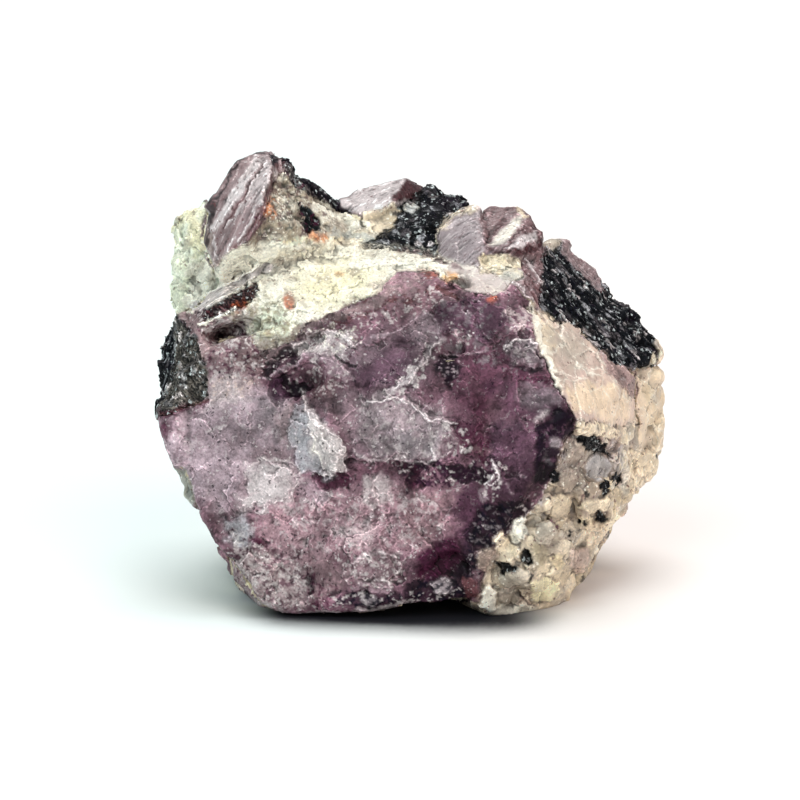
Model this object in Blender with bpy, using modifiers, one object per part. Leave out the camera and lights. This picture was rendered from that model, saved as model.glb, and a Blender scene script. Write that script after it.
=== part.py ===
"""Lepidolite specimen: one broken lump of pegmatite, all of it grown together.

A wide six-sided book of lepidolite is the front of the lump. Behind it is a matrix of quartz
and feldspar with seams of black mica, and more mica books stand up out of the top and the back.
The lump rests on a flat break underneath. X runs across the front, Y runs from front to back
and Z is up. Lengths are in millimetres until the mesh is scaled to metres.
"""

import math
import random

import bmesh
import bpy
import numpy as np
from mathutils import Matrix, Vector, noise

NAME = "lepidolite_specimen"
METRES_PER_MM = 0.001

# Size of the cubes that the fused skin is worked out with, and how many triangles it keeps
VOXEL = 0.62
TRIANGLES = 9300

# Neighbouring sheets of a book run into each other by this much, so that they fuse
SHEET_OVERLAP = 0.12

# The cube that cuts the base level, and how near to level a corner is brought back to it
FLOOR_CUTTER = 200.0
BASE_SNAP = 0.12

# A flake's skirt sinks this far into the book, and is this much narrower there
FLAKE_ROOT = 6.0
FLAKE_TAPER = 0.98

# Sheets in a book are between these two shares of the mean thickness
THINNEST_SHEET = 0.6
THICKEST_SHEET = 1.4

# A face of the front book counts as its front where its normal points this far towards -Y
FACING_FRONT = -0.2

# The balls that cut the hollows
BALL_SEGMENTS = 24
BALL_RINGS = 12

# Broken rock has large chips with small chips on them: share of their size and of their height
SMALL_CHIP = 0.45
SMALL_CHIP_RISE = 0.4
LARGE_CHIP_SEED = 3.1
SMALL_CHIP_SEED = 7.7
CHIP_TILT_SPREAD = 31.7

# Surface of the purple mica
MICA_COLOUR = (0.20, 0.13, 0.20, 1)
MICA_ROUGHNESS = 0.45
MICA_METALLIC = 0.0

# Cleavage directions: a mica book is a pile of sheets at right angles to this line
FRONT_CLEAVAGE = (0.05, -0.97, 0.24)
TOP_CLEAVAGE = (0.84, 0.30, -0.45)
BACK_CLEAVAGE = (-0.35, 0.86, 0.37)
SIDE_CLEAVAGE = (-0.80, -0.30, -0.52)
LEDGE_CLEAVAGE = (0.30, -0.25, 0.92)

# Each mineral roughens its own surface: facet size, facet height, grain size, grain height
ROUGHNESS = {
    "mica face": (11.0, 0.55, 2.6, 0.16),
    "mica crystal": (6.0, 0.10, 2.0, 0.05),
    "matrix": (6.5, 1.35, 2.4, 0.55),
    "feldspar": (12.0, 0.45, 3.0, 0.15),
    "black mica": (4.5, 0.60, 1.7, 0.45),
    "albite": (5.5, 0.80, 2.2, 0.40),
}

# Solid lumps of one mineral, each the convex hull of its corners
LUMPS = {
    "quartz heart": (
        "matrix",
        [
            (-24, -13, -2), (-10, -15, -2), (8, -16, -2), (23, -9, -2), (29, 8, -2),
            (24, 22, -2), (4, 28, -2), (-16, 25, -2), (-27, 13, -2), (-28, -2, 0),
            (-36, 2, 24), (-37, 14, 24), (-32, 25, 22), (-12, 31, 20), (14, 31, 22),
            (33, 25, 22), (40, 13, 20), (34, -3, 22),
            (-33, 4, 46), (-33, 18, 48), (-22, 27, 46), (4, 30, 44), (24, 25, 42),
            (33, 15, 38), (22, -4, 46), (-12, -4, 50),
            (-24, 20, 55), (4, 22, 55), (17, 12, 53),
        ],
    ),
    "right foot": (
        "matrix",
        [
            (9, -20, 2.5), (15, -21, 14), (25, -21, 31), (35, -4, 26), (36, 2, 14),
            (31, -5, 12), (29, -7, 6), (25, -9, -1), (21, -13, -2), (16, -16, -2),
            (10, -6, -2), (20, 6, -2), (30, 8, 20),
        ],
    ),
    "foot grain": (
        "matrix",
        [
            (13, -19.5, 5), (18, -22, 8), (17, -22.5, 14), (22, -22, 17), (26, -19, 12),
            (22, -17, 3), (18, -12, 8), (15, -14, 12),
        ],
    ),
    "side grain": (
        "matrix",
        [
            (27, -17, 20), (32, -14, 22), (34, -10, 17), (31, -12, 12), (27, -15, 13),
            (26, -8, 17),
        ],
    ),
    "right rim": (
        "matrix",
        [
            (37, 6, 37), (42, 12, 31), (42, 12, 23), (41, 11, 17), (36.5, 9, 12),
            (33, 3, 12), (36, 1, 24), (35, 23, 33), (37, 23, 22), (32, 20, 12), (30, 14, 38),
        ],
    ),
    "back hump": (
        "matrix",
        [
            (-8, 18, 8), (12, 18, 6), (14, 33, 12), (-4, 34, 14), (-8, 32, 28),
            (10, 33, 30), (22, 28, 22), (16, 26, 38), (-10, 26, 40),
        ],
    ),
    "pale corner": (
        "albite",
        [
            (-39, 16, 59), (-31, 18, 60), (-27, 22, 58), (-39, 14, 52), (-38, 10, 42),
            (-30, 5, 46), (-28, 8, 54), (-35, 22, 44), (-26, 24, 50), (-38, 19, 50),
        ],
    ),
    "top shelf": (
        "albite",
        [
            (-36, -2, 45), (-32, -5, 47), (-19, 0, 53), (-17, -9, 46), (-2, -8.5, 50.5),
            (4, -8, 52), (12, -6, 53), (12, 4, 55.5), (-8, 10, 57.5), (-26, 8, 54),
            (-30, 0, 40), (10, 0, 42), (-10, 4, 40),
        ],
    ),
    "crystal seat": (
        "feldspar",
        [
            (8, -6, 53.5), (14, -5, 54.2), (21.5, -3, 52.5), (22, -7, 47), (18, -10.5, 49),
            (10, -9, 51.5), (22, 6, 54), (10, 6, 55), (20, 4, 44), (10, 0, 44),
        ],
    ),
    "crystal shoulder": (
        "albite",
        [
            (-22, 6, 69), (-16, 10, 64.5), (-10, 12, 59.8), (-12, 3, 56), (-18, -1, 55),
            (-28, -3, 54), (-22.5, -3, 62), (-24, 16, 60), (-9, 18, 58), (-20, 6, 48),
        ],
    ),
    "feldspar face": (
        "feldspar",
        [
            (18.5, -13.5, 48), (21, -9, 47), (30, -3, 41), (36.5, 0, 35), (36, -4, 25),
            (26, -21.5, 32), (31, -13, 26), (20, 0, 30), (34, 8, 30), (24, 6, 42),
        ],
    ),
    "right black seam": (
        "black mica",
        [
            (22, 12, 55), (25, 16, 54.5), (31, 18, 49), (33, 18, 46), (41, 12, 37),
            (36, 2, 36), (21, -8, 47), (20.5, -3, 52.5), (24, 20, 44), (32, 20, 38),
            (20, 6, 40), (34, 10, 32),
        ],
    ),
    "left black seam": (
        "black mica",
        [
            (-38, 6, 43), (-40.3, 0, 40), (-40.7, -1, 31), (-38, -10, 31), (-32, -9, 41),
            (-35, -4, 47), (-30, 4, 44), (-38, 8, 32), (-34, -4, 26),
        ],
    ),
    "top black seam": (
        "black mica",
        [
            (-11, 11, 58.5), (-8, 6, 57), (4, 4, 56.5), (8, 8, 59), (3, 18, 63),
            (9, 18, 61), (-6, 20, 60), (0, 8, 50), (8, 20, 50), (12, 12, 57.5),
        ],
    ),
    "back black seam": (
        "black mica",
        [
            (-36, 12, 30), (-34, 21, 33), (-28, 29, 28), (-16, 32, 25), (-18, 30, 17),
            (-30, 25, 16), (-36, 14, 20), (-26, 18, 24),
        ],
    ),
    "left quartz knob": (
        "matrix",
        [
            (-37.5, -2, 21.5), (-37.5, 2, 18), (-36.5, -3, 16), (-34, -5, 13.5),
            (-33, -6, 22), (-30, 4, 24), (-30, 6, 12),
        ],
    ),
}

# Piles of mica sheets: mineral, cleavage, sheet count, how far a sheet may draw in, corners
BOOKS = {
    "front book": (
        "mica face",
        FRONT_CLEAVAGE,
        7,
        0.030,
        [
            (-39.2, -10, 30), (-38.3, -11.5, 25.5), (-34.8, -14, 19), (-29.6, -16.5, 10.5),
            (-23.8, -18.5, 2), (-21, -18, 0), (-12.6, -20, 0), (-3.5, -20.5, 1.2),
            (9.4, -21, 3.4), (15.8, -22.5, 17), (25.8, -21.5, 32.8), (23.2, -18.5, 38.8),
            (19, -13.5, 48), (16.9, -11, 51.2), (3.5, -9, 51.6), (-17, -9.5, 46),
            (-32.4, -8, 42), (-36, 4, 30), (-22, 2, 4), (12, -2, 6), (22, -4, 30),
            (14, 2, 46), (-26, 4, 42),
        ],
    ),
    "tall crystal": (
        "mica crystal",
        TOP_CLEAVAGE,
        6,
        0.08,
        [
            (-23.6, 4, 71.3), (-27.2, 2, 70.2), (-31.4, -1, 63.6), (-33.2, -2, 57),
            (-31.2, -5.2, 53.8), (-25.4, -6.6, 58.4), (-22.8, -4.8, 63.8),
            (-21.5, 0.5, 69.8), (-22, 13, 70), (-30, 13, 64), (-32, 12, 54),
            (-24, 8, 48), (-30, 4, 48),
        ],
    ),
    "middle crystal": (
        "mica crystal",
        TOP_CLEAVAGE,
        5,
        0.05,
        [
            (-11.3, 12, 61.1), (-8.8, 15, 63.4), (-0.7, 17, 65.3), (-2.0, 10.2, 62.4),
            (-7.8, 8.6, 60), (2.5, 20, 62.9), (-11, 24, 60), (-0.7, 26, 63.2),
            (2.2, 26, 61.2), (-8, 12, 54), (0, 14, 55), (0, 24, 54), (-9, 22, 54),
        ],
    ),
    "right plate": (
        "mica crystal",
        FRONT_CLEAVAGE,
        3,
        0.05,
        [
            (4.4, 2, 59), (8.4, 5, 61.8), (11.2, 5, 61.9), (11.8, -1.2, 58.6),
            (11.4, -4.2, 56), (10.8, -5.2, 53.6), (8.3, -4.4, 54.2), (4.4, -1.2, 55),
            (6, 10, 60), (11, 10, 60), (6, 6, 50), (11, 4, 48),
        ],
    ),
    "right crystal": (
        "mica crystal",
        TOP_CLEAVAGE,
        5,
        0.05,
        [
            (11.6, 3, 58.6), (12.8, 7, 61.9), (17.2, 7, 62.3), (19.5, 5, 61),
            (20.9, 3, 58.1), (21.6, 0, 54.2), (16.6, -4.6, 56.2), (12.4, -3.6, 56),
            (12, 16, 58), (20, 16, 57), (12, 6, 48), (20, 8, 47), (15, -3, 52),
        ],
    ),
    "back book": (
        "mica crystal",
        BACK_CLEAVAGE,
        7,
        0.05,
        [
            (-30, 20, 50), (-18, 20, 57.5), (-3, 22, 56), (2, 28, 46), (-4, 33, 35),
            (-18, 35, 29), (-30, 29, 34), (-20, 22, 32), (-12, 20, 44),
        ],
    ),
    "back right crystal": (
        "mica crystal",
        SIDE_CLEAVAGE,
        5,
        0.07,
        [
            (14, 24, 50), (26, 20, 48), (32, 23, 40), (30, 29, 34), (18, 32, 36),
            (11, 29, 44), (20, 23, 32), (16, 22, 42),
        ],
    ),
    "left ledge book": (
        "mica crystal",
        LEDGE_CLEAVAGE,
        4,
        0.05,
        [
            (-37.2, -1, 44.5), (-36, -5.5, 42), (-33.6, -7.5, 44.5), (-31, -6.5, 48.6),
            (-19.5, -1.8, 53.0), (-20, -7, 48.5), (-30, 4, 48), (-24, 4, 44), (-33, 2, 40),
        ],
    ),
}

# Flakes that stand a little proud of the front face: their outline across the face, and rise
FLAKES = {
    "upper right flake": ([(4, 50), (14, 50.5), (18.5, 47), (22, 38.5), (13, 36), (5, 40)], 0.7),
    "centre tongue": ([(-9, 41), (-1, 42), (6, 39.5), (13, 36), (9.5, 28.5), (-2, 29), (-6, 33)], 1.0),
    "left apron": ([(-38, 29), (-26, 35), (-14, 32), (-11, 25), (-16, 22), (-22, 25), (-33, 21)], 0.8),
    "bright flake": ([(-17, 32), (-13, 34), (-10, 27), (-12, 23), (-16, 25)], 1.3),
    "pale flake": ([(-27, 25), (-20, 25.5), (-18, 21), (-21, 16), (-27, 17)], 1.0),
    "foot flake": ([(-14, 12), (-2, 14), (4, 6), (-4, 2.5), (-16, 3)], 0.7),
    "low left flake": ([(-31, 14), (-25, 15), (-21, 6), (-24, 3.5)], 0.8),
    "right edge flake": ([(14, 31), (24.5, 33), (17, 19), (12, 22)], 0.6),
}

# Hollows in the front face: place across the face, half width, depth, half height and turn
FACE_HOLLOWS = {
    "upper dark hollow": (-19.5, 41.8, 7.5, 1.7, 1.5, 16),
    "lower dark hollow": (-17.5, 36.6, 4.6, 1.6, 2.0, 12),
    "right dark hollow": (6.5, 42.5, 2.6, 1.0, 2.8, 0),
    "low dark hollow": (5.5, 8.0, 4.5, 1.4, 3.0, 30),
}

# Hollows broken out of the lump elsewhere: centre, radii and turn about Y in degrees
HOLLOWS = {
    "foot arch": ((3.2, -20, 0), (8.0, 13.0, 2.6), 0),
    "notch under the foot": ((32, -11, 3), (6.0, 8.0, 4.5), 30),
    "back pocket": ((-6, 35, 31), (6.0, 4.0, 4.0), 20),
    "back low pocket": ((20, 31, 12), (8.0, 6.0, 5.0), -15),
    "left side bite": ((-42, 16, 36), (4.5, 7.0, 6.0), 0),
    "hollow under the middle": ((2, 7, -1), (15.0, 13.0, 4.0), 0),
    "hollow under the left": ((-24, 8, -1), (10.0, 9.0, 4.5), 0),
    "hollow under the right": ((24, 16, -1), (9.0, 8.0, 4.0), 0),
    "hollow under the back": ((-14, 25, -1), (9.0, 7.0, 4.0), 0),
}


def clear_scene():
    """Remove what the startup file put in the scene."""
    for item in list(bpy.data.objects):
        bpy.data.objects.remove(item)


def hull_mesh(corners):
    """A convex lump with these corners, as a bmesh."""
    lump = bmesh.new()
    for corner in corners:
        lump.verts.new(corner)
    hull = bmesh.ops.convex_hull(lump, input=lump.verts)
    unused = [e for e in hull["geom_interior"] if isinstance(e, bmesh.types.BMVert)]
    bmesh.ops.delete(lump, geom=unused, context="VERTS")
    bmesh.ops.recalc_face_normals(lump, faces=lump.faces)
    return lump


def centre_of(lump):
    """The mean of a lump's corners."""
    total = Vector()
    for vertex in lump.verts:
        total += vertex.co
    return total / len(lump.verts)


def keep_between(lump, normal, low, high):
    """Cut a lump down to the slab between two planes across one direction."""
    for height, keep_inner in ((low, False), (high, True)):
        geometry = lump.verts[:] + lump.edges[:] + lump.faces[:]
        cut = bmesh.ops.bisect_plane(
            lump,
            geom=geometry,
            plane_co=normal * height,
            plane_no=normal,
            clear_outer=keep_inner,
            clear_inner=not keep_inner,
        )
        rim = [e for e in cut["geom_cut"] if isinstance(e, bmesh.types.BMEdge)]
        bmesh.ops.edgeloop_fill(lump, edges=rim)
    bmesh.ops.recalc_face_normals(lump, faces=lump.faces)


def append_mesh(target, lump):
    """Add a lump's faces to the mesh that gathers them all, and free the lump."""
    copies = {v: target.verts.new(v.co) for v in lump.verts}
    for face in lump.faces:
        target.faces.new([copies[v] for v in face.verts])
    lump.free()


def add_book(target, corners, cleavage, sheets, draw_in, seed):
    """A pile of mica sheets: the hull cut into slabs, each drawn in by its own small amount."""
    chance = random.Random(seed)
    normal = Vector(cleavage).normalized()
    whole = hull_mesh(corners)
    heights = [v.co.dot(normal) for v in whole.verts]
    bottom, top = min(heights), max(heights)
    marks = [0.0]
    for _ in range(sheets):
        marks.append(marks[-1] + chance.uniform(THINNEST_SHEET, THICKEST_SHEET))
    levels = [bottom + (top - bottom) * mark / marks[-1] for mark in marks]
    middle = centre_of(whole)
    for low, high in zip(levels, levels[1:]):
        sheet = whole.copy()
        keep_between(sheet, normal, low - SHEET_OVERLAP, high + SHEET_OVERLAP)
        shrink = 1.0 - chance.uniform(0.0, draw_in)
        for vertex in sheet.verts:
            offset = vertex.co - middle
            along = normal * offset.dot(normal)
            vertex.co = middle + along + (offset - along) * shrink
        append_mesh(target, sheet)
    whole.free()


def planes_of(corners):
    """The outward normals of a convex lump's faces, and how far along each one its face lies."""
    lump = hull_mesh(corners)
    normals = np.array([face.normal for face in lump.faces])
    offsets = np.array([face.normal.dot(face.verts[0].co) for face in lump.faces])
    lump.free()
    return normals, offsets


def distance_outside(points, corners):
    """How far each point is outside a convex lump, negative inside, from the lump's planes."""
    normals, offsets = planes_of(corners)
    return (points @ normals.T - offsets).max(axis=1)


def front_face_y(x, z):
    """Where the front book's face lies at a place across the front."""
    normals, offsets = planes_of(BOOKS["front book"][-1])
    facing = normals[:, 1] < FACING_FRONT
    across = normals[facing, 0] * x + normals[facing, 2] * z
    return ((across - offsets[facing]) / -normals[facing, 1]).max()


def add_flake(target, outline, rise):
    """A thin flake of mica lying on the front face, with a skirt that sinks into the book."""
    corners = []
    for x, z in outline:
        surface = front_face_y(x, z)
        corners.append((x, surface - rise, z))
        corners.append((x * FLAKE_TAPER, surface + FLAKE_ROOT, z))
    append_mesh(target, hull_mesh(corners))


def collection_named(name, rendered):
    """A collection in the scene, hidden from the render if it only holds helpers."""
    made = bpy.data.collections.new(name)
    made.hide_render = not rendered
    bpy.context.scene.collection.children.link(made)
    return made


def rough_lump(collection):
    """All lumps, books and flakes in one mesh, fused by a voxel remesh."""
    gathered = bmesh.new()
    for _, corners in LUMPS.values():
        append_mesh(gathered, hull_mesh(corners))
    for seed, (_, cleavage, sheets, draw_in, corners) in enumerate(BOOKS.values()):
        add_book(gathered, corners, cleavage, sheets, draw_in, seed)
    for outline, rise in FLAKES.values():
        add_flake(gathered, outline, rise)
    mesh = bpy.data.meshes.new(NAME)
    gathered.to_mesh(mesh)
    gathered.free()
    lump = bpy.data.objects.new(NAME, mesh)
    collection.objects.link(lump)
    add_voxel_skin(lump, "Fuse the lumps")
    return lump


def add_voxel_skin(lump, name):
    """Give the lump one even skin, which joins what overlaps and drops slivers."""
    skin = lump.modifiers.new(name, "REMESH")
    skin.mode = "VOXEL"
    skin.voxel_size = VOXEL


def add_cutter(collection, shape, name, placing):
    """A helper object that holds a cutter's shape, put in place by its matrix."""
    mesh = bpy.data.meshes.new(name)
    shape.to_mesh(mesh)
    shape.free()
    cutter = bpy.data.objects.new(name, mesh)
    cutter.matrix_world = placing
    cutter.hide_render = True
    cutter.display_type = "WIRE"
    collection.objects.link(cutter)
    return cutter


def cut_away(lump, cutter):
    """Have the lump lose the space that a cutter fills."""
    cut = lump.modifiers.new(cutter.name, "BOOLEAN")
    cut.operation = "DIFFERENCE"
    cut.object = cutter


def add_hollow(lump, cutters, name, centre, radii, turn):
    """Cut an ellipsoid out of the lump."""
    ball = bmesh.new()
    bmesh.ops.create_uvsphere(ball, u_segments=BALL_SEGMENTS, v_segments=BALL_RINGS, radius=1)
    turned = Matrix.Rotation(math.radians(-turn), 4, "Y")
    placing = Matrix.Translation(centre) @ turned @ Matrix.Diagonal((*radii, 1))
    cut_away(lump, add_cutter(cutters, ball, name, placing))


def add_hollows(lump, cutters):
    """Cut the hollows out of the front face and the rest of the lump."""
    for name, (x, z, half_width, depth, half_height, turn) in FACE_HOLLOWS.items():
        centre = (x, front_face_y(x, z), z)
        add_hollow(lump, cutters, name, centre, (half_width, depth, half_height), turn)
    for name, (centre, radii, turn) in HOLLOWS.items():
        add_hollow(lump, cutters, name, centre, radii, turn)


def apply_modifiers(lump):
    """Replace the lump's mesh by the one its modifiers make."""
    graph = bpy.context.evaluated_depsgraph_get()
    made = bpy.data.meshes.new_from_object(lump.evaluated_get(graph))
    lump.modifiers.clear()
    lump.data = made


def minerals_of(points):
    """The mineral that each point belongs to: that of the lump or book it lies nearest to."""
    regions = list(LUMPS.values()) + [(book[0], book[-1]) for book in BOOKS.values()]
    distances = [distance_outside(points, corners) for _, corners in regions]
    nearest = np.argmin(distances, axis=0)
    return [regions[index][0] for index in nearest]


def facet_height(point, size, seed):
    """A broken surface of flat chips: each cell of a Voronoi pattern is a plane of its own tilt."""
    place = point / size + Vector((seed, seed, seed))
    nearest = noise.voronoi(place)[1][0]
    tilt = noise.cell_vector(nearest * CHIP_TILT_SPREAD) * 2.0 - Vector((1, 1, 1))
    return tilt.dot(place - nearest)


def roughen(lump):
    """Push each vertex along its normal by the roughness of the mineral it belongs to."""
    mesh = lump.data
    points = np.array([vertex.co for vertex in mesh.vertices])
    moved = []
    for vertex, mineral in zip(mesh.vertices, minerals_of(points)):
        facet_size, facet_rise, grain_size, grain_rise = ROUGHNESS[mineral]
        rise = facet_rise * facet_height(vertex.co, facet_size, LARGE_CHIP_SEED)
        small_rise = facet_rise * SMALL_CHIP_RISE
        rise += small_rise * facet_height(vertex.co, facet_size * SMALL_CHIP, SMALL_CHIP_SEED)
        rise += grain_rise * noise.noise(vertex.co / grain_size)
        moved.append(vertex.co + vertex.normal * rise)
    for vertex, place in zip(mesh.vertices, moved):
        vertex.co = place


def thin_out(lump):
    """Keep the triangles where the surface turns, and few on flat faces."""
    thin = lump.modifiers.new("Fewer triangles", "DECIMATE")
    thin.ratio = TRIANGLES / (2 * len(lump.data.polygons))
    apply_modifiers(lump)


def flatten_base(lump, cutters):
    """Cut the lump off level at height 0, where it rests."""
    below = bmesh.new()
    bmesh.ops.create_cube(below, size=FLOOR_CUTTER)
    placing = Matrix.Translation((0, 0, -FLOOR_CUTTER / 2))
    cut_away(lump, add_cutter(cutters, below, "level base", placing))
    apply_modifiers(lump)


def level_base(lump):
    """Bring the corners of the base back to height 0 exactly, so that it stays one flat face."""
    for vertex in lump.data.vertices:
        if vertex.co.z < BASE_SNAP:
            vertex.co.z = 0.0


def centre_and_scale(lump):
    """Put the middle of the footprint's box over the origin, and turn millimetres into metres."""
    xs = [v.co.x for v in lump.data.vertices]
    ys = [v.co.y for v in lump.data.vertices]
    middle = Vector(((min(xs) + max(xs)) / 2, (min(ys) + max(ys)) / 2, 0))
    for vertex in lump.data.vertices:
        vertex.co = (vertex.co - middle) * METRES_PER_MM


def add_material(lump):
    """Purple mica: the colour that most of the specimen has."""
    mica = bpy.data.materials.new("lepidolite")
    mica.use_nodes = True
    surface = mica.node_tree.nodes["Principled BSDF"]
    surface.inputs["Base Color"].default_value = MICA_COLOUR
    surface.inputs["Roughness"].default_value = MICA_ROUGHNESS
    surface.inputs["Metallic"].default_value = MICA_METALLIC
    lump.data.materials.append(mica)


def main():
    clear_scene()
    specimen = collection_named("Lepidolite specimen", True)
    cutters = collection_named("Cutters", False)
    lump = rough_lump(specimen)
    add_hollows(lump, cutters)
    apply_modifiers(lump)
    roughen(lump)
    add_voxel_skin(lump, "Even out the cuts")
    flatten_base(lump, cutters)
    thin_out(lump)
    level_base(lump)
    centre_and_scale(lump)
    add_material(lump)


main()
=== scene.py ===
# Lepidolite specimen: the looks of the lump, mineral by mineral.
# All lengths below are in millimetres, in the frame's own axes, until a mesh is written.

import math

import bpy
import numpy as np
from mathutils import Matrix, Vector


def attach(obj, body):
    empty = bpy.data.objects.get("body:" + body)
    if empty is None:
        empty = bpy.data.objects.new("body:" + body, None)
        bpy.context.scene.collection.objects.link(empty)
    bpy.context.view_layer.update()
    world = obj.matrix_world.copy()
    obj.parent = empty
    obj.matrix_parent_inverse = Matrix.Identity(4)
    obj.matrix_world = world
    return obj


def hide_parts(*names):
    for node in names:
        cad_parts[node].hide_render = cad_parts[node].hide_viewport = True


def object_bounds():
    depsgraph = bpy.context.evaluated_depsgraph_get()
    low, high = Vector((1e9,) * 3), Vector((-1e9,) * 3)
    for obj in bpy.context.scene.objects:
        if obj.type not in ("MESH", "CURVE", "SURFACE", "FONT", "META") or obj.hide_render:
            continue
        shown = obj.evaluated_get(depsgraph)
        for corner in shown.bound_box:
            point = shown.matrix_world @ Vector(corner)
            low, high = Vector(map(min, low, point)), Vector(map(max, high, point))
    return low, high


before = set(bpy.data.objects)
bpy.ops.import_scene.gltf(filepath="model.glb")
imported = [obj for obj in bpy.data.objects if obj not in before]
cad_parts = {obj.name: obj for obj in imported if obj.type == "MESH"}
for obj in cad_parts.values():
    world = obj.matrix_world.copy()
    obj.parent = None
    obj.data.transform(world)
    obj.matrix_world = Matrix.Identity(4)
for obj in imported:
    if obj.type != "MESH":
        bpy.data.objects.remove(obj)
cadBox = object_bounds()
print("frame loaded")

metre = 0.001

# The camera that took the photo: aim is the point in the middle of the picture
photo = {
    "elevation": 12.0,
    "distance": 500.0,
    "lens": 139.4,
    "sensor": 36.0,
    "pixels": 800,
    "aim": (-2.351, -6.916, 31.322),
}

# Colours of the minerals, as they look in plain white light
colours = {
    "purple": (112, 80, 92),
    "deepPurple": (80, 48, 66),
    "duskViolet": (76, 51, 65),
    "darkPurple": (44, 20, 38),
    "nightPurple": (20, 8, 22),
    "magenta": (62, 20, 44),
    "lilac": (157, 137, 144),
    "apronViolet": (169, 148, 156),
    "pinkLilac": (187, 150, 158),
    "paleLilac": (208, 197, 197),
    "greyLilac": (147, 135, 138),
    "blueGrey": (174, 173, 178),
    "mauve": (141, 119, 120),
    "brownMauve": (118, 92, 94),
    "redBrown": (96, 56, 58),
    "darkRed": (64, 32, 36),
    "rust": (186, 88, 46),
    "amber": (226, 160, 82),
    "cream": (236, 217, 188),
    "peach": (240, 214, 186),
    "paleYellow": (247, 236, 194),
    "sugarWhite": (252, 246, 231),
    "greenWhite": (238, 243, 220),
    "quartzGrey": (182, 171, 157),
    "coldQuartz": (172, 178, 178),
    "smokyQuartz": (144, 127, 113),
    "tan": (202, 182, 146),
    "pinkFeldspar": (208, 182, 171),
    "black": (12, 14, 18),
    "inkGreen": (12, 24, 26),
    "charcoal": (48, 44, 50),
    "silver": (186, 182, 184),
    "maroon": (72, 28, 50),
    "wine": (98, 66, 77),
    "milk": (206, 195, 193),
    "dust": (180, 160, 160),
    "ash": (125, 115, 119),
    "darkGrey": (92, 86, 90),
    "blueBlack": (12, 10, 24),
    "stone": (156, 142, 131),
    "olive": (150, 138, 108),
    "brown": (124, 98, 78),
    # the floor's cooler and warmer colours: a painted tint that shows only in the floor's shade
    "coolShadowTint": (239, 247, 246),
    "warmShadowTint": (247, 241, 239),
    "orange": (222, 130, 78),
    "mossGrey": (132, 138, 128),
}


def linear(name):
    # a named colour as scene-linear red, green and blue
    part = np.array(colours[name]) / 255.0
    return np.where(part <= 0.04045, part / 12.92, ((part + 0.055) / 1.055) ** 2.4)


def smooth(low, high, value):
    # 0 below low, 1 above high, and an s-curve between them
    part = np.clip((value - low) / (high - low), 0.0, 1.0)
    return part * part * (3.0 - 2.0 * part)


def mixed(first, second, share):
    # first where share is 0, second where it is 1, for colours in rows
    return first + (second - first) * share[:, None]


def scramble(cell, seed):
    # a repeatable 32-bit number for each whole-number cell of space
    spread = cell.astype(np.uint32)
    code = spread[:, 0] * np.uint32(73856093)
    code ^= spread[:, 1] * np.uint32(19349663)
    code ^= spread[:, 2] * np.uint32(83492791)
    code ^= np.uint32((seed * 2654435761) % 4294967296)
    code ^= code >> np.uint32(16)
    code *= np.uint32(0x7FEB352D)
    code ^= code >> np.uint32(15)
    code *= np.uint32(0x846CA68B)
    code ^= code >> np.uint32(16)
    return code


def fractions(code):
    # three numbers from 0 to 1 out of the bits of one code
    return np.stack([(code >> np.uint32(shift) & np.uint32(1023)) / 1023.0 for shift in (0, 10, 20)], axis=1)


def waves(points, size, seed):
    # smooth gradient noise from about -1 to 1: each corner of a cube grid has a slope of its
    # own, and a point blends the heights that the eight slopes give it
    place = points / size
    cell = np.floor(place)
    part = place - cell
    ease = part * part * part * (part * (part * 6.0 - 15.0) + 10.0)
    cell = cell.astype(np.int64)
    total = np.zeros(len(points))
    for corner in np.ndindex(2, 2, 2):
        step = np.array(corner)
        slope = fractions(scramble(cell + step, seed)) * 2.0 - 1.0
        share = np.prod(np.where(step, ease, 1.0 - ease), axis=1)
        total += share * ((part - step) * slope).sum(axis=1)
    return total * 1.7


def rough(points, size, seed, octaves=4, fade=0.5):
    # waves at one size, then at half of it and so on, each fainter by fade
    total = np.zeros(len(points))
    strength = 1.0
    for octave in range(octaves):
        total += strength * waves(points, size * 0.5 ** octave, seed + octave)
        strength *= fade
    return total


def grains(points, size, seed):
    # one random point in each cube of a grid: distance to the nearest and the next, which
    # random number the nearest has, and the way from it to here
    place = points / size
    cell = np.floor(place).astype(np.int64)
    near = np.full(len(points), 9.0)
    far = np.full(len(points), 9.0)
    code = np.zeros(len(points), np.uint32)
    away = np.zeros((len(points), 3))
    for corner in np.ndindex(3, 3, 3):
        step = np.array(corner) - 1
        here = scramble(cell + step, seed)
        offset = place - (cell + step + fractions(here))
        distance = np.sqrt((offset * offset).sum(axis=1))
        closer = distance < near
        far = np.where(closer, near, np.minimum(far, distance))
        near = np.where(closer, distance, near)
        code = np.where(closer, here, code)
        away[closer] = offset[closer]
    return near, far, code, away


def brokenFaces(points, size, seed):
    # broken grain: every cell is a flat facet with its own tilt and its own level, from -1 to 1
    near, far, code, away = grains(points, size, seed)
    lean = fractions(code) * 2.0 - 1.0
    level = fractions(code * np.uint32(2246822519))[:, 0] - 0.5
    return (lean * away).sum(axis=1) + 0.5 * level, far - near, code


def photoPixels(points):
    # where each point comes out in the photo, and how far it is from the camera
    turn = math.radians(photo["elevation"])
    forward = np.array([0.0, math.cos(turn), -math.sin(turn)])
    up = np.array([0.0, math.sin(turn), math.cos(turn)])
    eye = np.array(photo["aim"]) - forward * photo["distance"]
    ray = points - eye
    depth = ray @ forward
    scale = photo["lens"] / photo["sensor"] * photo["pixels"]
    half = photo["pixels"] / 2
    pixels = np.stack([half + ray[:, 0] / depth * scale, half - (ray @ up) / depth * scale], axis=1)
    return pixels, depth, forward


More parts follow.
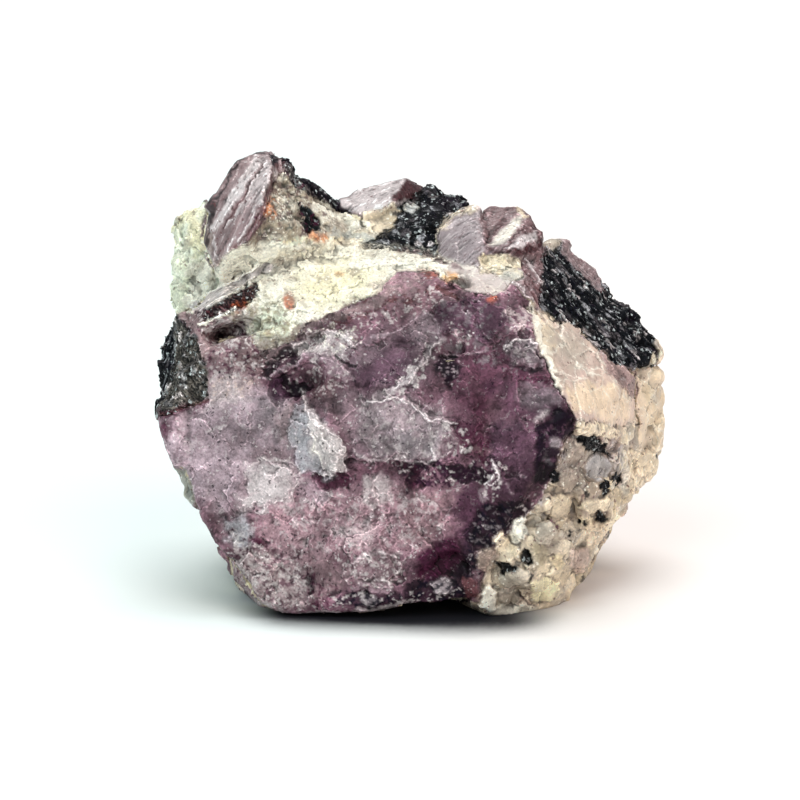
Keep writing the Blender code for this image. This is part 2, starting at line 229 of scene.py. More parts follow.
def inFront(points, normals, tile=3.0, reach=3.5, turned=0.25):
    # what the photo can see: nearly the nearest point of its tile of pixels, and not turned away
    pixels, depth, forward = photoPixels(points)
    wide = int(photo["pixels"] / tile) + 1
    spot = np.clip((pixels / tile).astype(int), 0, wide - 1)
    index = spot[:, 1] * wide + spot[:, 0]
    nearest = np.full(wide * wide, np.inf)
    np.minimum.at(nearest, index, depth)
    return (depth < nearest[index] + reach) & (normals @ forward < turned), pixels


def cornersOf(outline):
    # the corners of an outline as rows of x and y, from plain numbers in turn or from pairs
    return np.array(outline, float).reshape(-1, 2)


def insideOutline(pixels, outline):
    # distance in pixels to the edge of an outline, positive inside it
    nearest = np.full(len(pixels), np.inf)
    inside = np.zeros(len(pixels), bool)
    corners = cornersOf(outline)
    for start, end in zip(corners, np.roll(corners, -1, axis=0)):
        along = end - start
        offset = pixels - start
        share = np.clip(offset @ along / (along @ along), 0.0, 1.0)
        gap = offset - share[:, None] * along
        nearest = np.minimum(nearest, (gap * gap).sum(axis=1))
        crosses = (start[1] > pixels[:, 1]) != (end[1] > pixels[:, 1])
        slant = start[0] + along[0] * (pixels[:, 1] - start[1]) / np.where(along[1] == 0, 1e-9, along[1])
        inside ^= crosses & (pixels[:, 0] < slant)
    return np.where(inside, 1.0, -1.0) * np.sqrt(nearest)


def oval(x, y, halfWidth, halfHeight, turn=0.0):
    # an outline of twelve points round an ellipse, turned clockwise in the picture
    angle = np.arange(12) * math.tau / 12
    lean = math.radians(turn)
    across, down = halfWidth * np.cos(angle), halfHeight * np.sin(angle)
    right = x + across * math.cos(lean) - down * math.sin(lean)
    low = y + across * math.sin(lean) + down * math.cos(lean)
    return list(zip(right, low))


# The minerals that the lump is parted into; the first is what everything else sits in
minerals = ["quartz", "mica", "crystal", "blackMica", "albite", "feldspar"]

# Where each mineral is inside the lump: centre and reach of each body of it
deposits = [
    ("blackMica", (30.3, 5.9, 46), (13, 14, 11)),
    ("blackMica", (-37.7, -7.1, 37), (7, 12, 9)),
    ("blackMica", (0.3, 7.9, 60), (11, 9, 7)),
    ("blackMica", (-28.7, 19.9, 24), (12, 9, 5)),
    ("albite", (-33.7, 9.9, 52), (8, 13, 13)),
    ("albite", (-12.7, -2, 54), (19, 11, 7)),
    ("albite", (-4, 20, 14), (8, 7, 6)),
    ("crystal", (-16.5, 21.9, 47), (14, 12, 11)),
    ("crystal", (-25.0, 22.0, 34), (7, 9, 6)),
    ("crystal", (-7.0, 26.0, 31), (5, 8, 4)),
    ("crystal", (21.3, 20.9, 43), (11, 10, 9)),
    ("crystal", (30.0, 17.0, 31), (5, 8, 5)),
    ("crystal", (-27.7, -2, 62), (7, 15, 13)),
    ("crystal", (-4.7, 12.9, 61.5), (8, 11, 5)),
    ("crystal", (15.3, 0, 57), (6, 11, 7)),
    ("mica", (12, 22, 26), (12, 9, 7)),
    ("mica", (3, 26, 12), (7, 7, 4)),
    ("mica", (-34, 4, 24), (6, 9, 6)),
    ("feldspar", (33, 10, 24), (8, 9, 8)),
    ("feldspar", (-12, 26, 12), (9, 8, 6)),
]

# The small and the wide waves that bend them: size, push and seed
depositBends = [(3.2, 0.9, 11), (11.0, 4.5, 13)]

# Small flakes strewn through the quartz: how they are bent (size, push and seed), the millimetres between
# them and a seed, the least reach and how much more, and which share of the places each mineral takes
scattered = {
    "bend": (2.4, 1.2, 17),
    "place": (5.5, 97),
    "reach": (0.26, 0.2),
    "shares": [("blackMica", 0.0, 0.10), ("mica", 0.10, 0.24), ("albite", 0.24, 0.34)],
}

# The ways the three pairs of sides and the ends of a book of mica face
bookSides = np.array([(1.0, 0.0, 0.25), (0.55, 0.2, 0.85), (-0.50, 0.1, 0.95), (0.1, 1.0, 0.0)])

# What the photo shows, from the back to the front: mineral or None, colour, strength of the
# colour, softness of its edge in pixels, how far it stands proud in millimetres, outline. An outline is
# the x and y of each corner in turn, in pixels of the photo
photoPatches = {
    "left quartz": ("quartz", "quartzGrey", 0.6, 3, 0, [
        176, 318, 163, 420, 222, 560, 262, 615, 240, 430, 205, 352]),
    "granular foot": ("quartz", "cream", 0.15, 3, 0, [
        574, 414, 640, 430, 664, 380, 680, 430, 670, 500, 640, 520, 610, 560, 580, 620, 520, 640, 455, 606,
        452, 585, 500, 540, 560, 460]),
    "foot light": (None, "cream", 0.45, 10, 0, [
        470, 604, 470, 574, 500, 540, 548, 494, 612, 492, 640, 478, 640, 520, 612, 556, 580, 612,
        520, 630]),
    "pale corner": ("albite", "greenWhite", 0.9, 2, 0, [
        165, 195, 215, 195, 212, 250, 206, 300, 190, 308, 168, 330]),
    "corner cream": (None, "paleYellow", 0.8, 6, 0, oval(200, 238, 12, 20, 10)),
    "corner cream top": (None, "paleYellow", 0.7, 6, 0, oval(186, 215, 14, 10, 0)),
    "corner quartz": ("albite", "quartzGrey", 0.85, 3, 0, oval(198, 276, 10, 17, 10)),
    "shelf": ("albite", "sugarWhite", 0.9, 2, 0, [
        184, 300, 207, 262, 240, 244, 262, 240, 300, 246, 316, 240, 345, 240, 420, 246, 470, 262, 514, 282,
        494, 298, 456, 286, 432, 275, 396, 272, 381, 290, 366, 298, 341, 308, 306, 325, 288, 344, 263, 350,
        248, 344, 243, 318, 250, 300, 190, 312]),
    "shelf yellow": (None, "paleYellow", 0.8, 14, 0, oval(336, 282, 44, 20, -12)),
    "shelf grey": (None, "quartzGrey", 0.85, 5, 0, oval(288, 262, 17, 9, -25)),
    "shelf grey right": (None, "quartzGrey", 0.7, 4, 0, oval(382, 252, 20, 4, -3)),
    "shelf lobe": (None, "greenWhite", 0.9, 7, 0, oval(270, 328, 20, 20, 0)),
    "smooth albite": ("feldspar", "dust", 0.75, 3, 0, [
        432, 257, 460, 262, 490, 270, 514, 284, 494, 296, 466, 290, 445, 274]),
    "crystal shoulder": ("albite", "stone", 0.8, 3, 0, [
        270, 158, 300, 180, 345, 212, 350, 226, 338, 236, 300, 238, 262, 243, 240, 248, 232, 246,
        262, 206]),
    "shoulder grey": (None, "smokyQuartz", 0.6, 6, 0, oval(280, 222, 18, 14, -20)),
    "shoulder pale": (None, "sugarWhite", 0.8, 4, 0, oval(340, 222, 22, 6, 12)),
    "shoulder grey band": (None, "quartzGrey", 0.8, 4, 0, oval(362, 232, 26, 6, 8)),
    "shoulder pale right": (None, "cream", 0.8, 4, 0, oval(345, 243, 28, 3.5, 4)),
    "shoulder rim": ("blackMica", "darkGrey", 0.8, 2, 0, [
        268, 150, 284, 160, 305, 176, 330, 196, 352, 212, 345, 215, 318, 200, 296, 188, 278, 176]),
    "shoulder grains": ("blackMica", "inkGreen", 0.97, 2, 0, [
        298, 204, 310, 207, 314, 216, 322, 222, 322, 228, 308, 234, 302, 224]),
    "middle crystal": ("crystal", "paleLilac", 0.8, 3, 0, [
        340, 208, 356, 188, 384, 180, 406, 175, 426, 186, 418, 200, 396, 205, 366, 216]),
    "middle crystal edge": (None, "darkRed", 0.98, 2, 0, [
        407, 176, 424, 187, 420, 198, 401, 200, 390, 205, 395, 192]),
    "top seam": ("blackMica", "black", 0.68, 3, 0, [
        366, 213, 400, 204, 428, 186, 482, 206, 452, 211, 437, 227, 440, 256, 396, 250, 360, 245,
        382, 232]),
    "top seam mica": (None, "nightPurple", 0.9, 4, 0, [430, 188, 480, 206, 452, 210, 436, 216]),
    "top seam beige": ("quartz", "cream", 0.75, 2, 0.1, [
        364, 212, 392, 204, 400, 212, 392, 226, 376, 234, 362, 226]),
    "top seam quartz": ("quartz", "coldQuartz", 0.8, 2, 0, oval(411, 208, 9, 5, 10)),
    "right plate": ("crystal", "greyLilac", 0.9, 2, 0, [
        438, 226, 452, 214, 478, 207, 484, 232, 482, 254, 478, 269, 463, 264, 440, 256]),
    "right plate rim": (None, "cream", 0.8, 3, 0, [
        438, 228, 452, 213, 478, 207, 474, 213, 456, 218, 444, 229]),
    "right crystal": ("crystal", "brownMauve", 0.85, 2, 0, [
        478, 207, 490, 206, 518, 206, 533, 214, 543, 240, 540, 256, 520, 250, 502, 252, 484, 247]),
    # painted highlight on the striated face of the right crystal
    "right crystal streak": (None, "sugarWhite", 0.7, 2, 0, [
        489, 246, 500, 234, 514, 220, 523, 215, 522, 224, 508, 238, 494, 246]),
    "right crystal streak low": (None, "paleLilac", 0.9, 2, 0, [
        506, 248, 518, 240, 534, 230, 536, 238, 524, 246, 510, 250]),
    "right crystal edge": (None, "darkRed", 0.9, 2, 0, [
        484, 246, 504, 252, 530, 246, 541, 254, 520, 256, 492, 254]),
    "sugar below crystal": ("albite", "cream", 0.8, 2, 0, [
        479, 256, 500, 253, 520, 258, 521, 268, 500, 271, 480, 273]),
    "grey below crystal": ("quartz", "coldQuartz", 0.7, 3, 0, oval(513, 276, 13, 6, 10)),
    "pink block": ("crystal", "brownMauve", 0.9, 2, 0, [
        519, 258, 530, 251, 543, 256, 543, 290, 538, 312, 530, 300, 512, 284, 524, 276]),
    "right seam": ("blackMica", "black", 0.6, 2, 0, [
        543, 237, 557, 238, 579, 252, 602, 283, 641, 316, 658, 338, 648, 350, 641, 368, 628, 371, 611, 358,
        596, 347, 579, 327, 552, 321, 538, 305, 543, 274]),
    "right seam back": ("crystal", "mauve", 0.8, 2, 0, [
        557, 240, 570, 243, 592, 264, 607, 288, 598, 290, 580, 272, 562, 254]),
    "right seam corner": ("feldspar", "quartzGrey", 0.8, 3, 0, oval(550, 245, 8, 8, 40)),
    "feldspar face": ("feldspar", "pinkFeldspar", 0.8, 3, 0, [
        527, 305, 552, 321, 579, 328, 596, 347, 611, 360, 638, 374, 638, 401, 632, 426, 612, 426, 593, 420,
        575, 421, 566, 408, 555, 381, 543, 360, 534, 335]),
    "feldspar cream": (None, "cream", 0.8, 6, 0, [
        528, 306, 552, 321, 556, 334, 552, 366, 560, 392, 546, 366, 534, 336]),
    "feldspar grey": (None, "quartzGrey", 0.72, 12, 0, oval(570, 350, 18, 22, -40)),
    "feldspar peach": (None, "peach", 0.95, 5, 0, [
        568, 388, 590, 382, 612, 384, 630, 396, 631, 420, 612, 424, 592, 414, 574, 410]),
    "feldspar mauve": ("mica", "brownMauve", 0.6, 3, 0, [
        598, 350, 612, 361, 637, 374, 638, 400, 634, 402, 622, 384, 606, 368]),
    "right rim": ("feldspar", "cream", 0.5, 3, 0, [
        639, 372, 658, 348, 668, 385, 668, 440, 658, 452, 640, 448, 637, 410]),
    "right rim yellow": (None, "tan", 0.4, 4, 0, [
        648, 362, 660, 348, 668, 385, 668, 440, 655, 450, 646, 420]),
    "left seam": ("blackMica", "blueBlack", 0.35, 2, 0, [
        184, 316, 172, 328, 158, 350, 150, 400, 152, 414, 165, 418, 180, 412, 195, 403, 207, 398, 208, 372,
        205, 352, 200, 338, 192, 326]),
    "mica face": ("mica", "purple", 0.95, 2, 0, [
        158, 420, 180, 412, 207, 398, 208, 372, 206, 352, 188, 318, 198, 306, 230, 320, 246, 330, 262, 350,
        288, 344, 306, 325, 341, 308, 366, 298, 381, 290, 396, 272, 432, 270, 456, 286, 494, 296, 512, 284,
        530, 302, 536, 340, 556, 384, 578, 420, 562, 462, 530, 515, 500, 540, 484, 572, 480, 602, 400, 604,
        392, 618, 262, 618, 222, 575, 188, 500]),
    "left ledge sheet": ("crystal", "milk", 0.95, 2, 0.15, [
        189, 306, 214, 291, 236, 277, 258, 265, 273, 261, 273, 270, 256, 277, 238, 289, 216, 303,
        198, 313]),
    "left ledge red": ("blackMica", "darkRed", 0.97, 2, -0.2, [
        199, 315, 212, 306, 226, 297, 242, 288, 256, 281, 258, 290, 252, 302, 240, 309, 226, 314, 212, 320,
        203, 322]),
    "left ledge hole": (None, "mauve", 0.4, 4, 0, [216, 322, 236, 314, 250, 322, 244, 336, 224, 334]),
    "left ledge pink": ("mica", "mauve", 0.95, 3, 0, [
        180, 312, 198, 310, 206, 324, 228, 318, 236, 332, 214, 352, 206, 356, 190, 330]),
    "ledge frost": (None, "milk", 0.8, 4, 0.1, [234, 313, 256, 304, 262, 318, 242, 328]),
    "upper mauve": (None, "mauve", 0.8, 8, 0, oval(252, 352, 44, 18, -8)),
    "rusty top": (None, "pinkLilac", 0.5, 8, 0, oval(400, 284, 26, 10, -5)),
    "upper centre": (None, "brownMauve", 0.4, 14, 0, oval(420, 300, 40, 22, -10)),
    "centre haze": (None, "darkGrey", 0.55, 12, 0, [
        340, 352, 366, 338, 428, 322, 438, 352, 410, 392, 370, 396]),
    "centre dark": (None, "duskViolet", 0.8, 9, -0.1, [
        350, 374, 378, 352, 410, 338, 420, 350, 406, 378, 386, 388, 362, 394]),
    "upper right sheet": (None, "duskViolet", 0.92, 4, 0.25, [
        434, 308, 468, 297, 488, 296, 508, 308, 504, 332, 482, 342, 460, 328, 438, 336]),
    "right wine": (None, "maroon", 0.62, 12, 0, [
        459, 350, 504, 346, 508, 378, 482, 420, 462, 412, 450, 392]),
    "dark window": (None, "darkPurple", 0.6, 5, 0, [479, 384, 490, 380, 497, 388, 494, 396, 482, 398]),
    # painted shade in the pocket
    "dark pocket": (None, "nightPurple", 0.94, 5, -0.15, [
        434, 360, 442, 352, 454, 354, 462, 364, 460, 378, 452, 388, 442, 384, 434, 374]),
    "dark window low": (None, "maroon", 0.6, 5, 0, [474, 408, 488, 398, 490, 404, 480, 418]),
    "right grain": (None, "deepPurple", 0.7, 8, 0, [
        499, 378, 540, 376, 562, 400, 562, 416, 530, 424, 500, 420]),
    "right maroon": (None, "maroon", 0.66, 8, 0, [
        500, 350, 522, 368, 548, 372, 556, 386, 520, 392, 506, 376]),
    "right lavender": (None, "ash", 0.5, 6, 0, [518, 388, 556, 386, 563, 402, 548, 411, 520, 408]),
    "right violet": (None, "duskViolet", 0.95, 6, 0, [
        492, 420, 538, 424, 538, 480, 524, 504, 498, 500, 486, 470]),
    "low right violet": (None, "deepPurple", 0.9, 8, 0, [
        470, 480, 500, 498, 488, 510, 470, 528, 456, 536, 446, 520, 456, 496]),
    "edge sheet": (None, "ash", 0.65, 7, 0.2, [506, 344, 530, 340, 541, 350, 544, 364, 528, 367, 512, 358]),
    "edge sheet shade": (None, "nightPurple", 0.8, 3, -0.15, [
        508, 362, 524, 368, 542, 366, 544, 371, 524, 373]),
    "right tip": (None, "nightPurple", 0.75, 5, 0, [
        546, 410, 560, 405, 572, 411, 578, 424, 566, 432, 552, 424]),
    "right night": (None, "nightPurple", 0.96, 3, -0.15, [
        535, 424, 548, 421, 556, 408, 570, 412, 576, 426, 574, 440, 562, 464, 548, 482, 534, 484]),
    "right facet": (None, "ash", 0.8, 2, 0.2, oval(555, 443, 7, 6, 30)),
    "right facet low": (None, "darkGrey", 0.7, 2, 0.1, oval(548, 461, 5, 3, 20)),
    "right glint": (None, "milk", 0.5, 3, 0.1, oval(540, 416, 9, 4, -25)),
    "tongue haze": (None, "greyLilac", 0.35, 12, 0, [
        316, 398, 352, 392, 376, 404, 372, 450, 350, 452, 338, 430]),
    "centre tongue": (None, "greyLilac", 0.68, 9, 0.12, [
        360, 400, 380, 400, 410, 396, 446, 416, 456, 426, 446, 448, 430, 462, 396, 458, 366, 462]),
    "tongue shade": (None, "ash", 0.8, 6, 0, [396, 432, 440, 430, 450, 446, 430, 456, 396, 450]),
    "tongue maroon": (None, "maroon", 0.75, 4, -0.1, [
        456, 420, 478, 420, 492, 440, 486, 460, 466, 458, 456, 440]),
    "tongue brown": (None, "brownMauve", 0.5, 4, 0, oval(481, 450, 10, 7, 10)),
    # painted shadow under the lower edge of the tongue, along the crease
    "crease left": (None, "wine", 0.7, 4, -0.1, [
        348, 454, 372, 458, 398, 464, 398, 474, 362, 480, 348, 476]),
    "crease maroon": (None, "maroon", 0.9, 2.5, -0.25, [
        396, 464, 412, 460, 426, 465, 420, 476, 428, 486, 414, 492, 404, 485, 408, 474]),
    "crease night": (None, "darkPurple", 0.9, 3, -0.25, [
        426, 462, 446, 465, 468, 467, 492, 469, 487, 481, 462, 483, 440, 474]),
    "pink grain": (None, "pinkLilac", 0.65, 12, 0, [
        258, 512, 310, 496, 346, 490, 400, 488, 450, 494, 450, 520, 430, 546, 400, 554, 340, 556, 290, 566,
        262, 546]),
    "pink cloud left": (None, "pinkLilac", 0.8, 10, 0, oval(292, 532, 28, 20)),
    "pink cloud middle": (None, "milk", 0.4, 8, 0, oval(356, 532, 20, 14)),
    "pink cloud top": (None, "milk", 0.55, 5, 0.1, [
        362, 478, 378, 474, 390, 484, 388, 504, 372, 508, 360, 500]),
    "pink cloud low": (None, "pinkLilac", 0.85, 7, 0, [
        286, 548, 304, 542, 322, 548, 324, 562, 304, 570, 288, 562]),
    "pink right": (None, "brownMauve", 0.55, 8, 0, [400, 494, 452, 494, 448, 520, 424, 544, 400, 540]),
    "grey lump": (None, "ash", 0.7, 3, 0.15, oval(321, 496, 8, 8)),
    "below flake": (None, "maroon", 0.85, 3, -0.2, [
        312, 474, 328, 474, 352, 478, 350, 488, 330, 490, 318, 484]),
    "magenta glow": (None, "magenta", 0.95, 5, 0, [
        416, 552, 438, 540, 456, 538, 466, 552, 454, 572, 438, 582, 420, 574]),
    "dark band": (None, "nightPurple", 0.9, 4, -0.1, [
        458, 536, 482, 506, 508, 499, 532, 501, 534, 510, 500, 540, 482, 556, 470, 580, 458, 586, 450, 574,
        464, 556]),
    "low middle": (None, "mauve", 0.5, 8, 0, [300, 560, 340, 560, 346, 590, 312, 604, 304, 580]),
    "lower frosted": (None, "dust", 0.3, 3, 0.25, [
        342, 564, 367, 552, 396, 558, 401, 567, 391, 587, 351, 587, 340, 577]),
    "pale block": (None, "lilac", 0.45, 2, 0.1, [351, 584, 372, 582, 393, 584, 392, 592, 352, 592]),
    "low maroon patch": (None, "nightPurple", 0.8, 3, -0.1, [
        346, 594, 398, 591, 400, 606, 362, 610, 344, 606]),
    "low lump": (None, "ash", 0.8, 2, 0.15, oval(370, 600, 8, 6)),
    "low dark left": (None, "nightPurple", 0.85, 3, -0.15, oval(309, 583, 5, 11, -10)),
    "low dark middle": (None, "nightPurple", 0.8, 3, -0.1, oval(335, 593, 6, 4)),
    "low left pale": (None, "dust", 0.75, 8, 0, [
        246, 548, 270, 552, 303, 570, 306, 604, 264, 612, 240, 580]),
    "left grey": (None, "blueGrey", 0.85, 5, 0.1, [228, 520, 244, 516, 252, 530, 248, 548, 232, 544]),
    # painted shade in the low notch
    "low notch dark": (None, "maroon", 0.8, 3, -0.15, [251, 538, 262, 536, 270, 544, 258, 550]),
    "low edge dark": (None, "nightPurple", 0.85, 3, -0.1, [
        400, 588, 430, 576, 456, 582, 474, 590, 470, 606, 440, 606, 402, 602]),
    "low grey grain": (None, "greyLilac", 0.9, 2, 0.3, [430, 582, 443, 576, 454, 583, 453, 594, 436, 596]),
    "low brown lump": (None, "redBrown", 0.85, 2, 0.15, [462, 576, 477, 580, 480, 596, 466, 600]),
    "left apron": (None, "apronViolet", 0.95, 10, 0.1, [
        168, 418, 206, 404, 240, 392, 290, 398, 296, 440, 290, 456, 262, 456, 240, 480, 222, 520,
        190, 486]),
    "apron blue": (None, "ash", 0.7, 8, 0, [252, 396, 275, 394, 292, 410, 284, 440, 262, 432]),
    "apron milk": (None, "lilac", 0.5, 10, 0, oval(232, 434, 30, 18, -10)),
    "apron cream": (None, "milk", 0.55, 9, 0.1, [
        206, 408, 210, 378, 234, 370, 254, 376, 256, 390, 234, 404]),
    "left edge red": (None, "maroon", 0.7, 4, 0, [
        160, 414, 188, 403, 188, 411, 173, 424, 173, 446, 164, 440]),
    "left chip": ("quartz", "mossGrey", 0.85, 2, 0.1, [
        178, 466, 188, 470, 196, 490, 198, 506, 190, 506, 180, 490]),
    # painted shadow along the top of the pale flake
    "above pale flake": (None, "brownMauve", 0.4, 4, 0, [250, 446, 284, 446, 290, 456, 252, 460]),
    "beside hollow": (None, "brownMauve", 0.55, 8, 0, [234, 354, 262, 352, 264, 384, 244, 390, 232, 378]),
    # painted shade in the upper and the lower hollow
    "upper hollow": (None, "nightPurple", 0.92, 7, -0.3, [
        261, 378, 263, 368, 276, 356, 290, 346, 304, 344, 306, 352, 296, 362, 280, 370, 268, 380]),
    "lower hollow": (None, "darkPurple", 0.93, 7, -0.25, [
        264, 400, 268, 384, 282, 376, 300, 375, 308, 382, 303, 395, 290, 397, 278, 406]),
    "lower hollow black": (None, "nightPurple", 0.7, 5, -0.2, [282, 378, 304, 377, 305, 392, 290, 394]),
    "frosted patch": (None, "milk", 0.9, 4, 0.2, [
        292, 343, 305, 335, 318, 330, 350, 331, 354, 346, 336, 356, 300, 354]),
    "frosted right": (None, "greyLilac", 0.65, 5, 0, [332, 333, 352, 334, 358, 348, 340, 356, 330, 346]),
    "below shelf shade": (None, "wine", 0.62, 7, 0, [296, 332, 346, 316, 356, 328, 340, 334, 302, 342]),
    "ridge": (None, "lilac", 0.6, 4, 0.1, [302, 358, 322, 352, 342, 362, 354, 376, 348, 384, 322, 366]),
    "pale ground": (None, "lilac", 0.5, 7, 0, [408, 318, 430, 312, 440, 326, 436, 346, 420, 352, 410, 336]),
    "ridge lumps": (None, "brownMauve", 0.6, 4, 0, [310, 376, 336, 378, 336, 398, 312, 398]),
    "beside flake": (None, "mauve", 0.5, 5, 0, [276, 410, 294, 402, 300, 424, 294, 448, 280, 440]),
    "bright flake": (None, "blueGrey", 0.85, 6, 0.25, [
        300, 404, 312, 408, 322, 424, 330, 446, 338, 472, 318, 473, 300, 466, 294, 446, 292, 424]),
    "bright flake rim": (None, "milk", 0.5, 3, 0.15, [
        304, 392, 312, 404, 322, 422, 334, 430, 342, 440, 348, 466, 340, 473, 330, 470, 324, 452, 316, 434,
        307, 414]),
    "bright flake light": (None, "milk", 0.85, 4, 0.1, [
        308, 416, 322, 426, 336, 440, 344, 456, 346, 468, 332, 473, 318, 466, 311, 444]),
    "pale flake": (None, "paleLilac", 0.8, 8, 0.15, [
        246, 480, 250, 466, 262, 461, 288, 461, 300, 474, 296, 488, 286, 500, 266, 506, 240, 513,
        238, 498]),
    "by pale flake": (None, "lilac", 0.6, 5, 0, [297, 477, 315, 480, 314, 502, 298, 504]),
    "tall crystal": ("crystal", "mauve", 0.9, 1.5, 0, [
        263, 146, 240, 156, 220, 178, 208, 203, 200, 235, 203, 250, 206, 261, 214, 269, 230, 252, 248, 242,
        264, 220, 268, 205, 274, 183, 276, 165]),
    "tall crystal rim": (None, "charcoal", 0.8, 2, 0, [
        262, 146, 240, 156, 220, 178, 207, 203, 200, 240, 205, 244, 209, 206, 224, 180, 242, 160,
        258, 152]),
    # the lit right side of the tall crystal, painted lighter: painted light
    "crystal light": (None, "paleLilac", 0.65, 6, 0, [
        262, 157, 276, 165, 270, 185, 258, 205, 246, 205, 252, 180]),
    "crystal left face": (None, "mauve", 0.85, 4, 0, [
        240, 162, 250, 160, 238, 184, 222, 208, 210, 228, 207, 226, 211, 206, 222, 182]),
    "crystal streak wide": (None, "paleLilac", 0.95, 1.5, 0.1, [
        256, 156, 261, 160, 250, 180, 238, 199, 226, 216, 213, 233, 209, 231, 219, 213, 232, 193,
        244, 175]),
    "crystal foot dark": (None, "maroon", 0.7, 3, 0, [250, 230, 262, 212, 268, 216, 258, 236, 244, 246]),
    "crystal foot": (None, "darkRed", 0.5, 4, 0, oval(256, 236, 14, 5, -40)),
    "orange by crystal": (None, "orange", 0.9, 3, 0, oval(271, 208, 6, 11, 12)),
    "orange on shelf": (None, "rust", 0.97, 2, 0, oval(289, 302, 6, 8, -10)),
    "orange behind shelf": (None, "orange", 0.85, 3, 0, oval(318, 236, 8, 5, 10)),
    "orange on ledge": (None, "rust", 0.8, 4, 0, oval(241, 306, 9, 6, -30)),
    "foot upper shade": (None, "smokyQuartz", 0.9, 5, 0, [
        566, 440, 586, 450, 606, 452, 622, 476, 606, 494, 596, 514, 562, 518, 552, 496, 558, 468]),
    "foot left pale": (None, "stone", 0.8, 2, 0.1, [560, 462, 572, 448, 584, 452, 582, 468, 564, 474]),
    "foot column": (None, "sugarWhite", 0.7, 3, 0.1, [620, 454, 627, 450, 630, 490, 622, 496]),
    "rim quartz": (None, "cream", 0.85, 4, 0.2, [628, 450, 660, 444, 656, 480, 640, 498, 628, 490]),
    "rim quartz low": (None, "tan", 0.6, 3, 0.1, [617, 491, 636, 490, 634, 502, 618, 502]),
    "foot right rough": (None, "peach", 0.6, 3, 0.2, [586, 524, 608, 520, 604, 544, 588, 548]),
    "foot rust mark": (None, "redBrown", 0.8, 2, 0, [594, 512, 606, 509, 610, 516, 598, 524]),
    "foot olive": (None, "olive", 0.75, 3, 0.1, [531, 544, 548, 540, 552, 560, 536, 568]),
    "foot low band": (None, "cream", 0.6, 3, 0.1, [494, 570, 520, 568, 540, 572, 536, 584, 500, 588]),
    "foot corner": (None, "cream", 0.75, 3, 0.1, [480, 591, 488, 585, 500, 592, 500, 616, 480, 612]),
    "foot bottom": (None, "sugarWhite", 0.6, 3, 0.1, [482, 606, 530, 602, 540, 612, 520, 621, 490, 619]),
    "amber on shelf": (None, "amber", 0.8, 3, 0, oval(341, 275, 5, 2.5, 0)),
    "amber on albite": (None, "amber", 0.9, 3, 0, oval(450, 277, 7, 4, 35)),
    "rust under albite": (None, "rust", 0.8, 3, 0, oval(492, 300, 4, 2.5, 15)),
    "rust under shelf": (None, "rust", 0.5, 4, 0, oval(428, 273, 7, 3, 0)),
}

